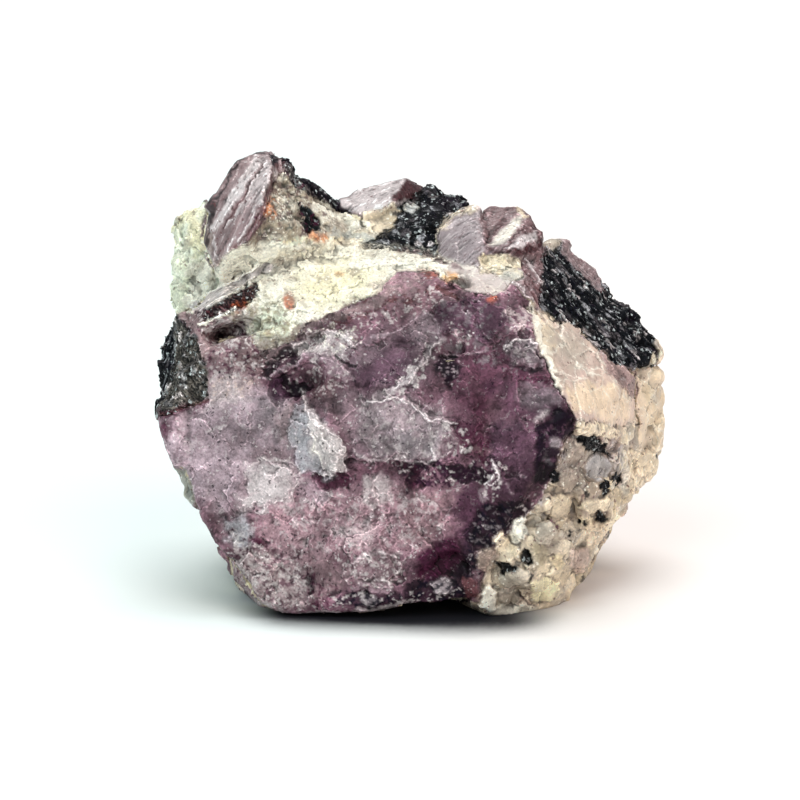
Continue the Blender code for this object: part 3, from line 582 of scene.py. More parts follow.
# Thin things that the photo shows: colour, strength, width in pixels, how far proud, and their way
photoStrokes = {
    "crack down": ("milk", 0.6, 2, 0.1, [300, 388, 305, 397, 306, 407, 311, 417, 319, 426, 329, 431]),
    "bright flake edge": ("paleLilac", 0.6, 1.7, 0.2, [
        315, 424, 329, 430, 338, 438, 342, 447, 342, 458, 348, 468, 345, 472, 318, 473]),
    "bright flake vein": ("sugarWhite", 0.6, 1.6, 0.1, [312, 432, 316, 448, 320, 462, 325, 470]),
    "hollow rim": ("lilac", 0.7, 2.5, 0.1, [264, 380, 283, 370, 297, 362, 307, 355, 315, 355, 324, 362]),
    "hollow rim right": ("lilac", 0.6, 2.5, 0.1, [320, 359, 338, 363, 351, 372]),
    # painted shade in the notch by the frosted patch
    "notch by frosted patch": ("nightPurple", 0.6, 3, -0.2, [335, 356, 343, 359, 354, 365]),
    "frosted top edge": ("paleLilac", 0.6, 3, 0.1, [306, 336, 326, 331, 347, 337, 354, 348]),
    "left tick": ("paleLilac", 0.8, 2, 0, [209, 430, 219, 428, 226, 427]),
    "pale flake rim": ("milk", 0.5, 2, 0.08, [
        244, 478, 248, 468, 256, 461, 271, 460, 289, 458, 298, 465, 303, 474]),
    "pale flake right": ("paleLilac", 0.5, 2, 0.1, [303, 474, 295, 487, 292, 500, 277, 502, 256, 514]),
    "line off frosted": ("lilac", 0.75, 2, 0.1, [433, 314, 426, 315, 408, 322, 394, 332, 372, 338]),
    "line to dark spot": ("lilac", 0.7, 2, 0.1, [426, 308, 429, 314, 436, 319, 436, 331, 440, 338]),
    "pale band": ("greyLilac", 0.7, 6, 0.1, [
        443, 339, 436, 346, 426, 354, 419, 367, 413, 378, 401, 384, 388, 392, 376, 397]),
    "pale band specks": ("paleLilac", 0.6, 2, 0.1, [440, 342, 430, 354, 421, 366, 411, 381, 392, 389]),
    "over dark spot": ("lilac", 0.6, 2, 0.1, [446, 353, 460, 356, 471, 353, 484, 352]),
    "squiggle": ("pinkLilac", 0.6, 2.5, 0.1, [454, 329, 459, 340, 466, 343]),
    "tongue top edge": ("paleLilac", 0.75, 1.8, 0.25, [
        366, 402, 380, 401, 393, 396, 401, 399, 410, 405, 421, 412, 433, 419, 446, 422, 459, 422]),
    "above tongue": ("darkPurple", 0.4, 2.5, -0.1, [
        401, 394, 412, 400, 424, 407, 436, 414, 448, 417, 462, 417]),
    "tongue lower edge": ("paleLilac", 0.4, 2, 0.08, [352, 448, 372, 462, 396, 460, 428, 463, 452, 452]),
    "tongue vein": ("lilac", 0.6, 2, 0.1, [352, 444, 380, 434, 410, 428, 440, 424]),
    "white dash": ("paleLilac", 0.65, 3, 0.15, [432, 447, 434, 457]),
    "rope": ("paleLilac", 0.7, 2, 0.2, [
        492, 461, 496, 471, 500, 479, 492, 484, 484, 482, 491, 474, 498, 472]),
    "rope tail": ("lilac", 0.7, 3, 0.1, [484, 486, 480, 494, 486, 500]),
    "hair line": ("lilac", 0.7, 1.2, 0, [506, 473, 518, 475, 528, 477]),
    "hair line low": ("lilac", 0.6, 1.2, 0, [500, 480, 508, 485, 513, 493]),
    "edge sheet light": ("paleLilac", 0.8, 3, 0.2, [503, 348, 513, 342, 529, 340, 537, 346]),
    "feldspar left edge": ("sugarWhite", 0.7, 5, 0.15, [
        529, 306, 535, 320, 540, 338, 545, 352, 552, 368, 560, 386]),
    "feldspar joint": ("nightPurple", 0.8, 2.2, -0.25, [538, 352, 547, 366, 556, 384, 564, 400, 574, 416]),
    "feldspar streak": ("sugarWhite", 0.7, 1.6, 0.1, [576, 364, 586, 371, 599, 377]),
    "feldspar streak low": ("sugarWhite", 0.5, 1.4, 0.1, [560, 372, 574, 378, 588, 380]),
    "left seam joint": ("redBrown", 0.8, 4, -0.1, [160, 418, 178, 412, 190, 405, 206, 402]),
    "left edge line": ("nightPurple", 0.35, 3, 0, [161, 425, 164, 445, 173, 465, 186, 490]),
    "base fringe": ("milk", 0.4, 3.5, 0, [
        256, 600, 275, 611, 294, 616, 319, 613, 340, 614, 369, 609, 393, 606, 404, 600]),
    "low ridge": ("paleLilac", 0.4, 2.5, 0.15, [352, 562, 366, 553, 384, 552, 397, 558]),
    "low white spots": ("paleLilac", 0.5, 3, 0.15, [376, 580, 386, 578, 391, 582]),
    "ledge sheet white": ("sugarWhite", 0.8, 3, 0.2, [194, 303, 214, 292, 236, 279, 258, 266]),
    "ledge line": ("sugarWhite", 0.9, 3.2, 0.2, [198, 325, 212, 320, 226, 314, 236, 309]),
    "ledge line low": ("paleLilac", 0.7, 2, 0.1, [202, 331, 216, 325, 232, 320]),
    "ledge dark low": ("redBrown", 0.7, 4, -0.1, [206, 334, 220, 338, 236, 336]),
    "shelf border": ("mauve", 0.75, 8, 0, [292, 334, 316, 322, 346, 314, 372, 304, 392, 292]),
    "shelf border red": ("redBrown", 0.6, 2, -0.1, [300, 340, 330, 328, 356, 318, 378, 308, 396, 300]),
    "white stripe": ("sugarWhite", 0.9, 7, 0.2, [352, 266, 376, 263, 399, 262, 424, 264, 446, 266]),
    "under top seam": ("brownMauve", 0.75, 5, 0, [400, 250, 418, 253, 440, 258, 462, 268]),
    "shoulder dark edge": ("nightPurple", 0.97, 5, 0, [
        274, 162, 288, 169, 303, 182, 318, 195, 334, 206, 348, 213]),
    "shoulder cream": ("sugarWhite", 0.75, 8, 0.15, [314, 208, 330, 214, 350, 221, 366, 225]),
    "shoulder cold": ("coldQuartz", 0.7, 7, 0, [334, 233, 352, 236, 370, 237]),
    "shoulder dots": ("charcoal", 0.7, 4, 0, [308, 243, 318, 246]),
    "crystal streak fine": ("paleLilac", 0.85, 2, 0.1, [267, 162, 253, 182, 242, 205, 227, 226]),
    "crystal outline": ("black", 0.85, 2.5, 0, [
        264, 151, 252, 154, 241, 163, 228, 181, 216, 205, 210, 226, 206, 246]),
    "crystal dark line": ("redBrown", 0.8, 2.2, -0.15, [262, 163, 250, 184, 237, 205, 222, 226]),
    "crystal streak right": ("paleLilac", 0.75, 3, 0.1, [272, 172, 263, 193, 250, 220, 238, 240]),
    "crystal streak low": ("paleLilac", 0.8, 2, 0.1, [213, 237, 217, 258]),
    "crystal streak foot": ("paleLilac", 0.7, 2, 0.1, [234, 237, 227, 260]),
    "crystal right edge": ("redBrown", 0.75, 3, -0.1, [
        275, 166, 274, 182, 265, 201, 257, 220, 243, 237, 236, 247]),
    "right crystal dark": ("darkRed", 0.75, 6, -0.1, [503, 220, 494, 230, 487, 242]),
    "right crystal line": ("darkRed", 0.7, 2.2, -0.1, [500, 251, 513, 238, 527, 227]),
    "right crystal foot": ("darkRed", 0.85, 4, -0.15, [500, 254, 519, 249, 536, 248]),
    "right crystal side": ("darkRed", 0.9, 3.5, 0, [533, 222, 539, 240, 543, 255]),
    "right crystal tip": ("cream", 0.7, 4, 0, [519, 209, 525, 216]),
    "block stripe": ("redBrown", 0.75, 2, -0.15, [520, 262, 530, 276, 540, 290]),
    "block stripe low": ("redBrown", 0.75, 2, -0.15, [524, 280, 532, 292, 538, 306]),
    "block stripe pale": ("paleLilac", 0.7, 2, 0.15, [524, 258, 534, 270, 542, 284]),
    "block edge": ("paleLilac", 0.6, 2, 0.1, [514, 284, 526, 292, 533, 302]),
    "dark by amber": ("redBrown", 0.8, 7, -0.15, [441, 288, 449, 293, 456, 297]),
    "right seam rim": ("greyLilac", 0.6, 1.8, 0, [599, 283, 624, 308, 644, 323, 657, 338]),
    "right seam light": ("paleLilac", 0.7, 2, 0.1, [566, 243, 580, 256, 592, 270]),
    "foot crack": ("redBrown", 0.8, 2.5, -0.2, [515, 591, 526, 599, 535, 606]),
    "foot thin speck": ("black", 0.9, 2.5, -0.1, [544, 515, 556, 515]),
    "foot crack high": ("redBrown", 0.7, 2.5, -0.2, [590, 484, 586, 494, 581, 503]),
    "foot band": ("redBrown", 0.85, 4, -0.15, [582, 440, 594, 438, 602, 446, 609, 455]),
}

# Where the lump of the photo reaches a little further out than the solid, or less far: millimetres,
# softness in pixels, outline
photoSwells = {
    "left edge": (1.6, 7, [146, 402, 182, 402, 186, 462, 176, 470, 146, 462]),
    "left seam edge": (-0.8, 7, [150, 325, 172, 325, 172, 385, 150, 385]),
    "low left edge": (0.8, 7, [172, 496, 206, 492, 232, 556, 200, 560]),
    "shoulder edge": (0.7, 5, [296, 160, 300, 184, 336, 212, 352, 205, 310, 165]),
    "corner left": (-0.9, 4, [160, 210, 182, 210, 182, 246, 160, 246]),
    "corner left low": (0.7, 4, [160, 255, 184, 255, 186, 325, 165, 325]),
    "rim side": (0.4, 4, [650, 378, 680, 378, 680, 424, 650, 424]),
    "crystal left": (0.4, 4, [200, 160, 262, 140, 262, 156, 228, 196, 200, 205]),
    "top seam edge": (0.8, 5, [420, 178, 450, 184, 490, 200, 488, 216, 450, 206, 424, 196]),
    "seam corner": (1.1, 4, [536, 232, 566, 232, 570, 248, 544, 252]),
    "seam back edge": (0.4, 5, [562, 236, 600, 262, 600, 276, 566, 254]),
    "seam low edge": (-0.4, 5, [598, 274, 622, 298, 612, 306, 592, 284]),
    "seam end": (0.9, 6, [620, 300, 640, 300, 668, 338, 652, 352, 630, 330]),
    "rim notch": (1.3, 5, [640, 350, 668, 350, 668, 380, 646, 380]),
    "rim low": (0.2, 5, [640, 448, 670, 444, 660, 480, 636, 476]),
    "corner top": (2.3, 5, [178, 196, 214, 196, 212, 210, 178, 212]),
}

# The same in the lump's own space: centre, reach and millimetres
lumpSwells = [
    ((-21.3, 0.6, 67.6), (3.6, 6.0, 3.4), 1.75),
    ((-25.0, 24.0, 40.0), (9.0, 8.0, 9.0), 0.6),
]

# Zones of the photo that are full of small ragged bits: colour, strength, share of the zone, size of
# the bits in millimetres, softness of the zone's edge in pixels, outline
photoBits = {
    "shoulder white": ("sugarWhite", 0.9, 0.32, 1.2, 5, [278, 172, 300, 190, 296, 214, 280, 222, 268, 200]),
    "shoulder dark": ("maroon", 0.92, 0.24, 1.2, 5, [
        272, 166, 300, 184, 330, 206, 318, 236, 262, 242, 246, 240, 262, 210]),
    "shoulder black": ("black", 0.92, 0.18, 1.0, 5, [274, 172, 300, 190, 304, 226, 262, 240, 262, 210]),
    "ledge dark": ("maroon", 0.85, 0.28, 0.9, 5, [
        200, 316, 240, 308, 258, 322, 250, 340, 214, 346, 200, 336]),
    "ledge pale": ("milk", 0.85, 0.32, 0.8, 5, [196, 312, 240, 308, 258, 322, 250, 348, 208, 352]),
    "shelf grit": ("olive", 0.75, 0.30, 0.9, 8, [
        246, 300, 266, 292, 300, 312, 316, 322, 286, 344, 258, 348, 244, 332]),
    "shelf foot grit": ("brown", 0.6, 0.16, 0.8, 6, [250, 306, 280, 306, 300, 322, 284, 342, 262, 346]),
    "shelf edge grit": ("mauve", 0.7, 0.35, 1.0, 6, [
        292, 326, 340, 306, 384, 284, 420, 270, 424, 284, 390, 304, 344, 322, 300, 344]),
    "below shelf red": ("redBrown", 0.75, 0.20, 1.0, 6, [
        296, 328, 340, 312, 384, 292, 440, 276, 452, 296, 400, 306, 350, 326, 304, 346]),
    "below shelf pale": ("milk", 0.6, 0.16, 0.9, 6, [
        300, 332, 344, 318, 390, 300, 440, 284, 446, 304, 400, 322, 350, 338, 310, 350]),
    "upper left dark": ("maroon", 0.8, 0.22, 1.0, 7, [206, 346, 262, 346, 268, 366, 240, 378, 208, 378]),
    "upper left pale": ("milk", 0.6, 0.20, 0.9, 7, [206, 346, 262, 346, 268, 366, 240, 376, 208, 384]),
    "apron cream bits": ("pinkFeldspar", 0.45, 0.20, 0.8, 5, [
        208, 378, 236, 372, 256, 380, 246, 396, 212, 400]),
    "hollow specks": ("milk", 0.6, 0.06, 0.7, 3, [264, 372, 282, 350, 304, 346, 306, 396, 270, 400]),
    "frost bits": ("sugarWhite", 0.6, 0.18, 0.9, 6, [
        306, 330, 330, 324, 360, 328, 364, 346, 344, 354, 310, 348]),
    "frost dark": ("wine", 0.7, 0.16, 0.8, 6, [306, 330, 330, 324, 364, 328, 372, 350, 344, 358, 306, 350]),
    "ridge bits": ("milk", 0.6, 0.30, 0.9, 6, [308, 354, 326, 358, 350, 372, 340, 396, 310, 392]),
    "ridge dark": ("wine", 0.7, 0.20, 0.9, 6, [308, 354, 326, 358, 354, 372, 344, 398, 310, 396]),
    "pale band bits": ("milk", 0.75, 0.32, 0.9, 5, [
        436, 336, 446, 342, 430, 362, 420, 384, 398, 396, 376, 400, 372, 394, 400, 380, 418, 356]),
    "pocket bits": ("lilac", 0.75, 0.12, 0.5, 4, [
        434, 358, 446, 352, 460, 362, 460, 386, 448, 390, 434, 376]),
    "squiggle bits": ("milk", 0.65, 0.28, 0.9, 4, [452, 324, 470, 330, 472, 346, 456, 348]),
    "upper mottle": ("ash", 0.5, 0.20, 1.0, 8, [
        430, 300, 500, 296, 536, 312, 548, 372, 500, 376, 440, 350]),
    "edge sheet bits": ("milk", 0.45, 0.16, 0.9, 5, [504, 344, 540, 338, 546, 362, 516, 362]),
    "corner granules": ("dust", 0.8, 0.45, 1.0, 4, [506, 310, 526, 306, 534, 322, 530, 334, 512, 332]),
    "tongue bits": ("milk", 0.35, 0.18, 1.0, 6, [
        352, 396, 410, 398, 450, 418, 462, 440, 430, 462, 366, 464]),
    "tongue end bits": ("milk", 0.8, 0.25, 1.1, 5, [446, 424, 466, 424, 474, 446, 456, 462, 444, 450]),
    "tongue red": ("maroon", 0.8, 0.28, 1.0, 5, [
        456, 418, 480, 420, 494, 446, 486, 462, 464, 460, 458, 440]),
    "crease bits": ("milk", 0.65, 0.12, 0.8, 5, [
        396, 462, 440, 462, 490, 466, 490, 486, 440, 484, 400, 480]),
    # dark bits of the painted shadow along the crease
    "crease dark": ("darkPurple", 0.9, 0.40, 1.1, 5, [
        396, 462, 440, 460, 488, 464, 492, 482, 440, 486, 406, 490]),
    "rope bits": ("milk", 0.8, 0.18, 0.8, 5, [482, 462, 500, 460, 506, 484, 490, 504, 478, 492]),
    "pink bits": ("paleLilac", 0.45, 0.25, 1.2, 12, [
        262, 514, 310, 494, 400, 484, 448, 494, 440, 540, 380, 562, 280, 556]),
    "pink dark": ("wine", 0.55, 0.20, 1.1, 12, [
        262, 514, 310, 494, 400, 484, 460, 494, 450, 546, 380, 566, 280, 562]),
    "frosted low bits": ("milk", 0.7, 0.25, 0.9, 6, [
        340, 556, 372, 550, 402, 560, 398, 588, 350, 590, 338, 576]),
    "frosted low dark": ("wine", 0.7, 0.18, 0.9, 6, [
        340, 556, 372, 550, 402, 560, 398, 588, 350, 590, 338, 576]),
    "low left bits": ("milk", 0.6, 0.26, 1.0, 8, [
        228, 530, 262, 540, 304, 566, 306, 606, 262, 612, 236, 576]),
    "low left cream": ("milk", 0.6, 0.14, 0.8, 8, [
        222, 520, 262, 540, 304, 566, 306, 606, 262, 612, 232, 570]),
    "low left dark": ("maroon", 0.75, 0.22, 0.9, 8, [
        226, 528, 268, 538, 312, 560, 340, 590, 330, 608, 262, 612]),
    "low maroon": ("blueBlack", 0.85, 0.30, 1.0, 6, [
        330, 590, 396, 592, 404, 580, 452, 574, 470, 590, 452, 604, 392, 610, 336, 612]),
    "band dark": ("blueBlack", 0.85, 0.30, 1.1, 6, [
        470, 530, 482, 508, 510, 498, 534, 501, 500, 540, 470, 578]),
    "band bits": ("ash", 0.6, 0.12, 1.0, 6, [466, 530, 482, 506, 510, 496, 534, 498, 500, 540, 466, 578]),
    "low pale": ("milk", 0.6, 0.10, 0.8, 6, [
        300, 588, 396, 592, 440, 582, 470, 590, 452, 604, 392, 610, 304, 612]),
    "right facets": ("duskViolet", 0.75, 0.12, 1.4, 5, [538, 426, 574, 410, 574, 430, 560, 462, 540, 480]),
    "left edge bits": ("maroon", 0.7, 0.25, 1.0, 6, [
        160, 414, 206, 400, 206, 408, 172, 424, 172, 446, 162, 436]),
    "foot glitter": ("milk", 0.85, 0.35, 0.8, 5, [608, 440, 626, 446, 626, 476, 612, 478]),
    "foot dark glitter": ("charcoal", 0.85, 0.24, 0.8, 5, [606, 438, 626, 446, 626, 476, 608, 480]),
    "foot rust": ("brown", 0.8, 0.40, 0.9, 5, [592, 508, 612, 508, 606, 530, 594, 528]),
    "foot brown streaks": ("redBrown", 0.7, 0.30, 1.0, 5, [582, 474, 600, 474, 598, 494, 582, 500]),
    "foot low brown": ("brown", 0.7, 0.30, 1.0, 5, [512, 588, 532, 590, 540, 604, 520, 606]),
    "foot upper brown": ("redBrown", 0.75, 0.34, 0.9, 4, [578, 430, 600, 430, 612, 446, 598, 446]),
    "border bits": ("milk", 0.75, 0.16, 0.8, 4, [
        566, 444, 574, 448, 548, 492, 534, 514, 500, 544, 476, 566, 470, 560, 520, 512, 548, 476]),
}

# Single grains of the foot that stand out in the photo: colour and outline
footGrains = {
    "top plate": ("cream", [
        576, 424, 592, 421, 608, 423, 621, 433, 621, 441, 604, 437, 588, 437, 577, 433]),
    "top left": ("stone", [568, 436, 577, 435, 583, 446, 576, 456, 566, 460, 561, 452]),
    "cream blade": ("sugarWhite", [
        515, 519, 523, 515, 527, 519, 528, 530, 524, 544, 516, 544, 509, 541, 509, 535]),
    "pale grain": ("cream", [
        494, 538, 501, 530, 509, 541, 516, 545, 521, 553, 514, 562, 501, 564, 494, 558]),
    "cold grain": ("blueGrey", [587, 458, 602, 455, 611, 461, 610, 472, 599, 480, 587, 475, 582, 466]),
    "big grey grain": ("stone", [562, 467, 576, 464, 584, 476, 582, 490, 566, 494, 557, 482]),
    "glassy grain": ("smokyQuartz", [478, 550, 492, 545, 498, 556, 490, 572, 476, 568]),
    "middle plate": ("cream", [541, 499, 556, 494, 573, 497, 570, 511, 556, 518, 543, 512]),
    "middle grey": ("quartzGrey", [560, 520, 574, 517, 584, 528, 576, 542, 560, 538]),
    "light plate": ("cream", [578, 504, 598, 497, 616, 496, 606, 510, 590, 514]),
    "mauve grain": ("quartzGrey", [534, 524, 552, 520, 558, 532, 550, 546, 536, 544]),
    "orange grain": ("tan", [548, 556, 560, 551, 566, 562, 556, 570]),
    "brown grain": ("smokyQuartz", [587, 480, 598, 481, 600, 490, 590, 497, 584, 490]),
    "pink column": ("pinkFeldspar", [570, 549, 587, 547, 590, 560, 584, 573, 572, 572]),
    "low band": ("quartzGrey", [498, 572, 520, 568, 536, 572, 530, 584, 504, 586]),
    "yellow grain": ("paleYellow", [530, 580, 545, 576, 560, 581, 562, 592, 548, 603, 532, 600]),
    "low grey": ("quartzGrey", [552, 592, 563, 586, 568, 596, 560, 610, 549, 608]),
    "low brown": ("stone", [500, 588, 514, 586, 522, 596, 516, 606, 502, 604]),
    "low corner": ("sugarWhite", [480, 590, 488, 585, 498, 592, 496, 612, 480, 610]),
    "rim grain": ("cream", [632, 452, 652, 448, 658, 462, 648, 482, 634, 474]),
}
footSpecks = {
    "upper speck": [580, 435, 594, 435, 604, 445, 613, 456, 603, 455, 587, 450, 577, 443],
    "left speck": [550, 477, 555, 470, 561, 474, 559, 483, 553, 486],
    "right speck": [598, 487, 605, 478, 618, 474, 622, 481, 612, 490, 604, 496],
    "blade speck": [523, 550, 531, 551, 531, 561, 527, 567, 520, 560],
    "low speck": [497, 563, 506, 562, 518, 566, 514, 572, 500, 572],
    "dotted speck": [595, 512, 602, 511, 608, 518, 602, 523, 596, 521],
    "dot one": oval(579, 520, 2, 2),
    "dot two": oval(586, 523, 2, 3),
    "dot three": oval(578, 529, 3, 2),
    "dot four": oval(568, 530, 2, 2),
    "dot five": oval(568, 536, 2, 2),
}


# How the tables above are laid on. The waves that bend the outlines have a size in millimetres, a seed
# and a reach in pixels; patches softer than fullBend take all of it, and small things their own share
brush = {
    "waves": [(2.6, 21, 7.0), (0.9, 23, 5.0)],
    "fullBend": 6.0,
    "smallBend": 0.45,
    "proudEdge": 1.0,
    "swellCore": 0.1,
    "bitSeed": 200,
    "bitFade": 0.6,
    "bitThinning": 0.8,
    "bitEdge": 0.08,
    "strokeEdge": 0.9,
    "grain": {"margin": 3, "strength": 0.8, "edge": (-0.5, 1.5), "proud": 0.35, "slope": (-1.0, 3.0),
              "joint": 0.3, "jointWidth": (1.6, 0.4)},
    "speck": {"margin": 2, "strength": 0.97, "edge": (-1.2, 0.4), "proud": -0.1},
}


def nearStroke(pixels, way):
    # distance in pixels to the nearest straight run of a line through several points
    nearest = np.full(len(pixels), np.inf)
    corners = cornersOf(way)
    for start, end in zip(corners[:-1], corners[1:]):
        along = end - start
        offset = pixels - start
        share = np.clip(offset @ along / (along @ along), 0.0, 1.0)
        gap = offset - share[:, None] * along
        nearest = np.minimum(nearest, (gap * gap).sum(axis=1))
    return np.sqrt(nearest)


def lumpSkin(spacing):
    # a copy of the solid, merged and covered by an even net of small squares
    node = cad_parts["lepidolite_specimen"]
    copy = bpy.data.objects.new("lumpCopy", node.data.copy())
    bpy.context.scene.collection.objects.link(copy)
    weld = copy.modifiers.new("Merge", "WELD")
    weld.merge_threshold = 0.00001
    net = copy.modifiers.new("Net", "REMESH")
    net.mode = "VOXEL"
    net.voxel_size = spacing * metre
    made = bpy.data.meshes.new_from_object(copy.evaluated_get(bpy.context.evaluated_depsgraph_get()))
    points = np.empty(len(made.vertices) * 3, np.float32)
    made.vertices.foreach_get("co", points)
    corners = np.empty(len(made.loops), np.int32)
    made.loops.foreach_get("vertex_index", corners)
    bpy.data.objects.remove(copy)
    bpy.data.meshes.remove(made)
    return points.reshape(-1, 3).astype(np.float64) / metre, corners.reshape(-1, 4)


def edgePairs(quads):
    # each edge of the net once, as the numbers of its two ends
    pairs = np.concatenate([np.stack([quads[:, k], quads[:, (k + 1) % 4]], axis=1) for k in range(4)])
    return np.unique(np.sort(pairs, axis=1), axis=0)


def neighbourMean(values, pairs):
    # the mean of each point's neighbours, column by column
    count = len(values)
    total = np.zeros_like(values)
    for column in range(values.shape[1]):
        total[:, column] += np.bincount(pairs[:, 0], values[pairs[:, 1], column], count)
        total[:, column] += np.bincount(pairs[:, 1], values[pairs[:, 0], column], count)
    return total / np.bincount(pairs.ravel(), minlength=count)[:, None]


def pointNormals(points, quads):
    # the mean of the normals of the squares round each point
    across = points[quads[:, 2]] - points[quads[:, 0]]
    down = points[quads[:, 3]] - points[quads[:, 1]]
    facing = np.cross(across, down)
    total = np.zeros_like(points)
    for corner in range(4):
        for column in range(3):
            total[:, column] += np.bincount(quads[:, corner], facing[:, column], len(points))
    return total / np.maximum(np.linalg.norm(total, axis=1), 1e-9)[:, None]


def wavy(points, size, amount, seed):
    # the points pushed about by noise, so that cells drawn on them get uneven outlines
    push = [rough(points, size, seed + 10 * axis, 2) for axis in range(3)]
    return points + amount * np.stack(push, axis=1)


def buriedMinerals(points):
    # which mineral the deposits put at each point: a crystal's body has six sides and two ends, and
    # its depth is 1 less the farthest of them; the others are ovals, bent by wide and by small waves
    bent = wavy(points, *depositBends[0])
    wide = wavy(bent, *depositBends[1])
    kind = np.zeros(len(points), int)
    best = np.zeros(len(points))
    for mineral, centre, reach in deposits:
        if mineral == "crystal":
            depth = 1.0 - np.abs((bent - centre) / reach @ bookSides.T).max(axis=1)
        else:
            depth = 1.0 - np.linalg.norm((wide - centre) / reach, axis=1)
        kind = np.where(depth > best, minerals.index(mineral), kind)
        best = np.maximum(depth, best)
    near, _, code, _ = grains(wavy(points, *scattered["bend"]), *scattered["place"])
    draw = fractions(code)
    least, more = scattered["reach"]
    for mineral, low, high in scattered["shares"]:
        flake = (draw[:, 0] > low) & (draw[:, 0] < high) & (near < least + more * draw[:, 1])
        kind = np.where(flake & (kind == 0), minerals.index(mineral), kind)
    return kind


def nearRows(pixels, way, margin):
    # the points whose pixels lie within the outline's own box, widened by a margin
    corners = cornersOf(way)
    low, high = corners.min(axis=0) - margin, corners.max(axis=0) + margin
    return np.flatnonzero(((pixels > low) & (pixels < high)).all(axis=1))


def outlineWaves(points):
    # how far in pixels the outlines of the tables are pushed at each point, across and down
    parts = [np.stack([waves(points, size, seed), waves(points, size, seed + 1)], axis=1) * reach
             for size, seed, reach in brush["waves"]]
    return sum(parts)


def paintedMinerals(points, normals):
    # which mineral each point is, its colour, and how far the photo's patches raise it
    kind = buriedMinerals(points)
    seen, pixels = inFront(points, normals)
    rows = np.flatnonzero(seen)
    here = points[rows]
    push = outlineWaves(here)
    tint = np.zeros((len(points), 3))
    cover = np.zeros(len(points))
    rise = np.zeros(len(points))

    def lay(near, colour, share, proud):
        # one more coat of a colour over what is there, at some of the points that the photo sees
        index = rows[near]
        tint[index] = mixed(tint[index], linear(colour), share)
        cover[index] += (1.0 - cover[index]) * share
        rise[index] += proud

    for centre, reach, amount in lumpSwells:
        rise += amount * smooth(1.0, brush["swellCore"], np.linalg.norm((points - centre) / reach, axis=1))
    for amount, soft, outline in photoSwells.values():
        near = nearRows(pixels[rows], outline, soft)
        rise[rows[near]] += amount * smooth(-soft, soft, insideOutline(pixels[rows[near]], outline))
    for mineral, colour, strength, soft, proud, outline in photoPatches.values():
        bent = pixels[rows] + push * min(1.0, soft / brush["fullBend"])
        near = nearRows(bent, outline, soft)
        depth = insideOutline(bent[near], outline)
        if mineral:
            kind[rows[near[depth > 0]]] = minerals.index(mineral)
        high = proud * smooth(-brush["proudEdge"], brush["proudEdge"], depth)
        lay(near, colour, smooth(-soft, soft, depth) * strength, high)
    bent = pixels[rows] + push * brush["smallBend"]
    for number, (colour, strength, share, size, soft, outline) in enumerate(photoBits.values()):
        near = nearRows(bent, outline, soft)
        depth = insideOutline(bent[near], outline)
        near, depth = near[depth > -soft], depth[depth > -soft]
        value = rough(here[near], size, brush["bitSeed"] + 5 * number, 3, brush["bitFade"])
        value -= brush["bitThinning"] * smooth(soft, -soft, depth)
        limit = np.quantile(value[depth > 0], 1.0 - share)
        lay(near, colour, smooth(limit - brush["bitEdge"], limit + brush["bitEdge"], value) * strength, 0.0)
    for colour, strength, width, proud, way in photoStrokes.values():
        near = nearRows(bent, way, width)
        away = nearStroke(bent[near], way) - 0.5 * width
        share = smooth(brush["strokeEdge"], -brush["strokeEdge"], away)
        lay(near, colour, share * strength, proud * share)
    grain, speck = brush["grain"], brush["speck"]
    for colour, outline in footGrains.values():
        near = nearRows(bent, outline, grain["margin"])
        depth = insideOutline(bent[near], outline)
        high = grain["proud"] * smooth(*grain["slope"], depth)
        lay(near, colour, smooth(*grain["edge"], depth) * grain["strength"], high)
        lay(near, "brownMauve", smooth(*grain["jointWidth"], np.abs(depth)) * grain["joint"], 0.0)
    for outline in footSpecks.values():
        near = nearRows(bent, outline, speck["margin"])
        depth = insideOutline(bent[near], outline)
        kind[rows[near[depth > 0]]] = minerals.index("blackMica")
        lay(near, "black", smooth(*speck["edge"], depth) * speck["strength"], speck["proud"])
    return kind, tint, cover, rise, seen, pixels


# The way the streaks of a crystal and the flakes of a black seam run
tallStreaks = np.array([0.42, 0.12, 0.90])
shortStreaks = np.array([0.69, 0.15, 0.70])
seamStreaks = np.array([0.70, 0.12, -0.70])

# Where the tall crystal ends at the right and below, and how far back each book has a way of its own
streakPlaces = {
    "tallRight": -16,
    "tallFoot": 50,
    "booksFrom": 13,
    "bookLean": 0.15,
}


def chosen(code, shares):
    # one of the mixture's colours for each code, in the mixture's shares
    limits = np.cumsum(list(shares.values())) / sum(shares.values())
    palette = np.array([linear(name) for name in shares])
    draw = (code >> np.uint32(5) & np.uint32(4095)) / 4096.0
    return palette[np.minimum(np.searchsorted(limits, draw), len(palette) - 1)]


def toned(value, names):
    # a colour read off a row of named ones: the first at 0 and the last at 1, blended in between
    palette = np.array([linear(name) for name in names])
    place = np.clip(value, 0.0, 1.0) * (len(names) - 1)
    low = np.minimum(place.astype(int), len(names) - 2)
    return mixed(palette[low], palette[low + 1], place - low)


def stretched(points, directions, share):
    # the points drawn together along a direction, so that a pattern on them runs long that way
    along = (points * directions).sum(axis=1)
    return points - directions * (along * (1.0 - share))[:, None]


def unit(vectors):
    # each row made one long
    return vectors / np.linalg.norm(vectors, axis=1)[:, None]


def books(points):
    # the blocks of sheets that the crystals at the back are made of, as broken faces
    return brokenFaces(wavy(points, *crystalLook["bookBend"]), *crystalLook["book"])


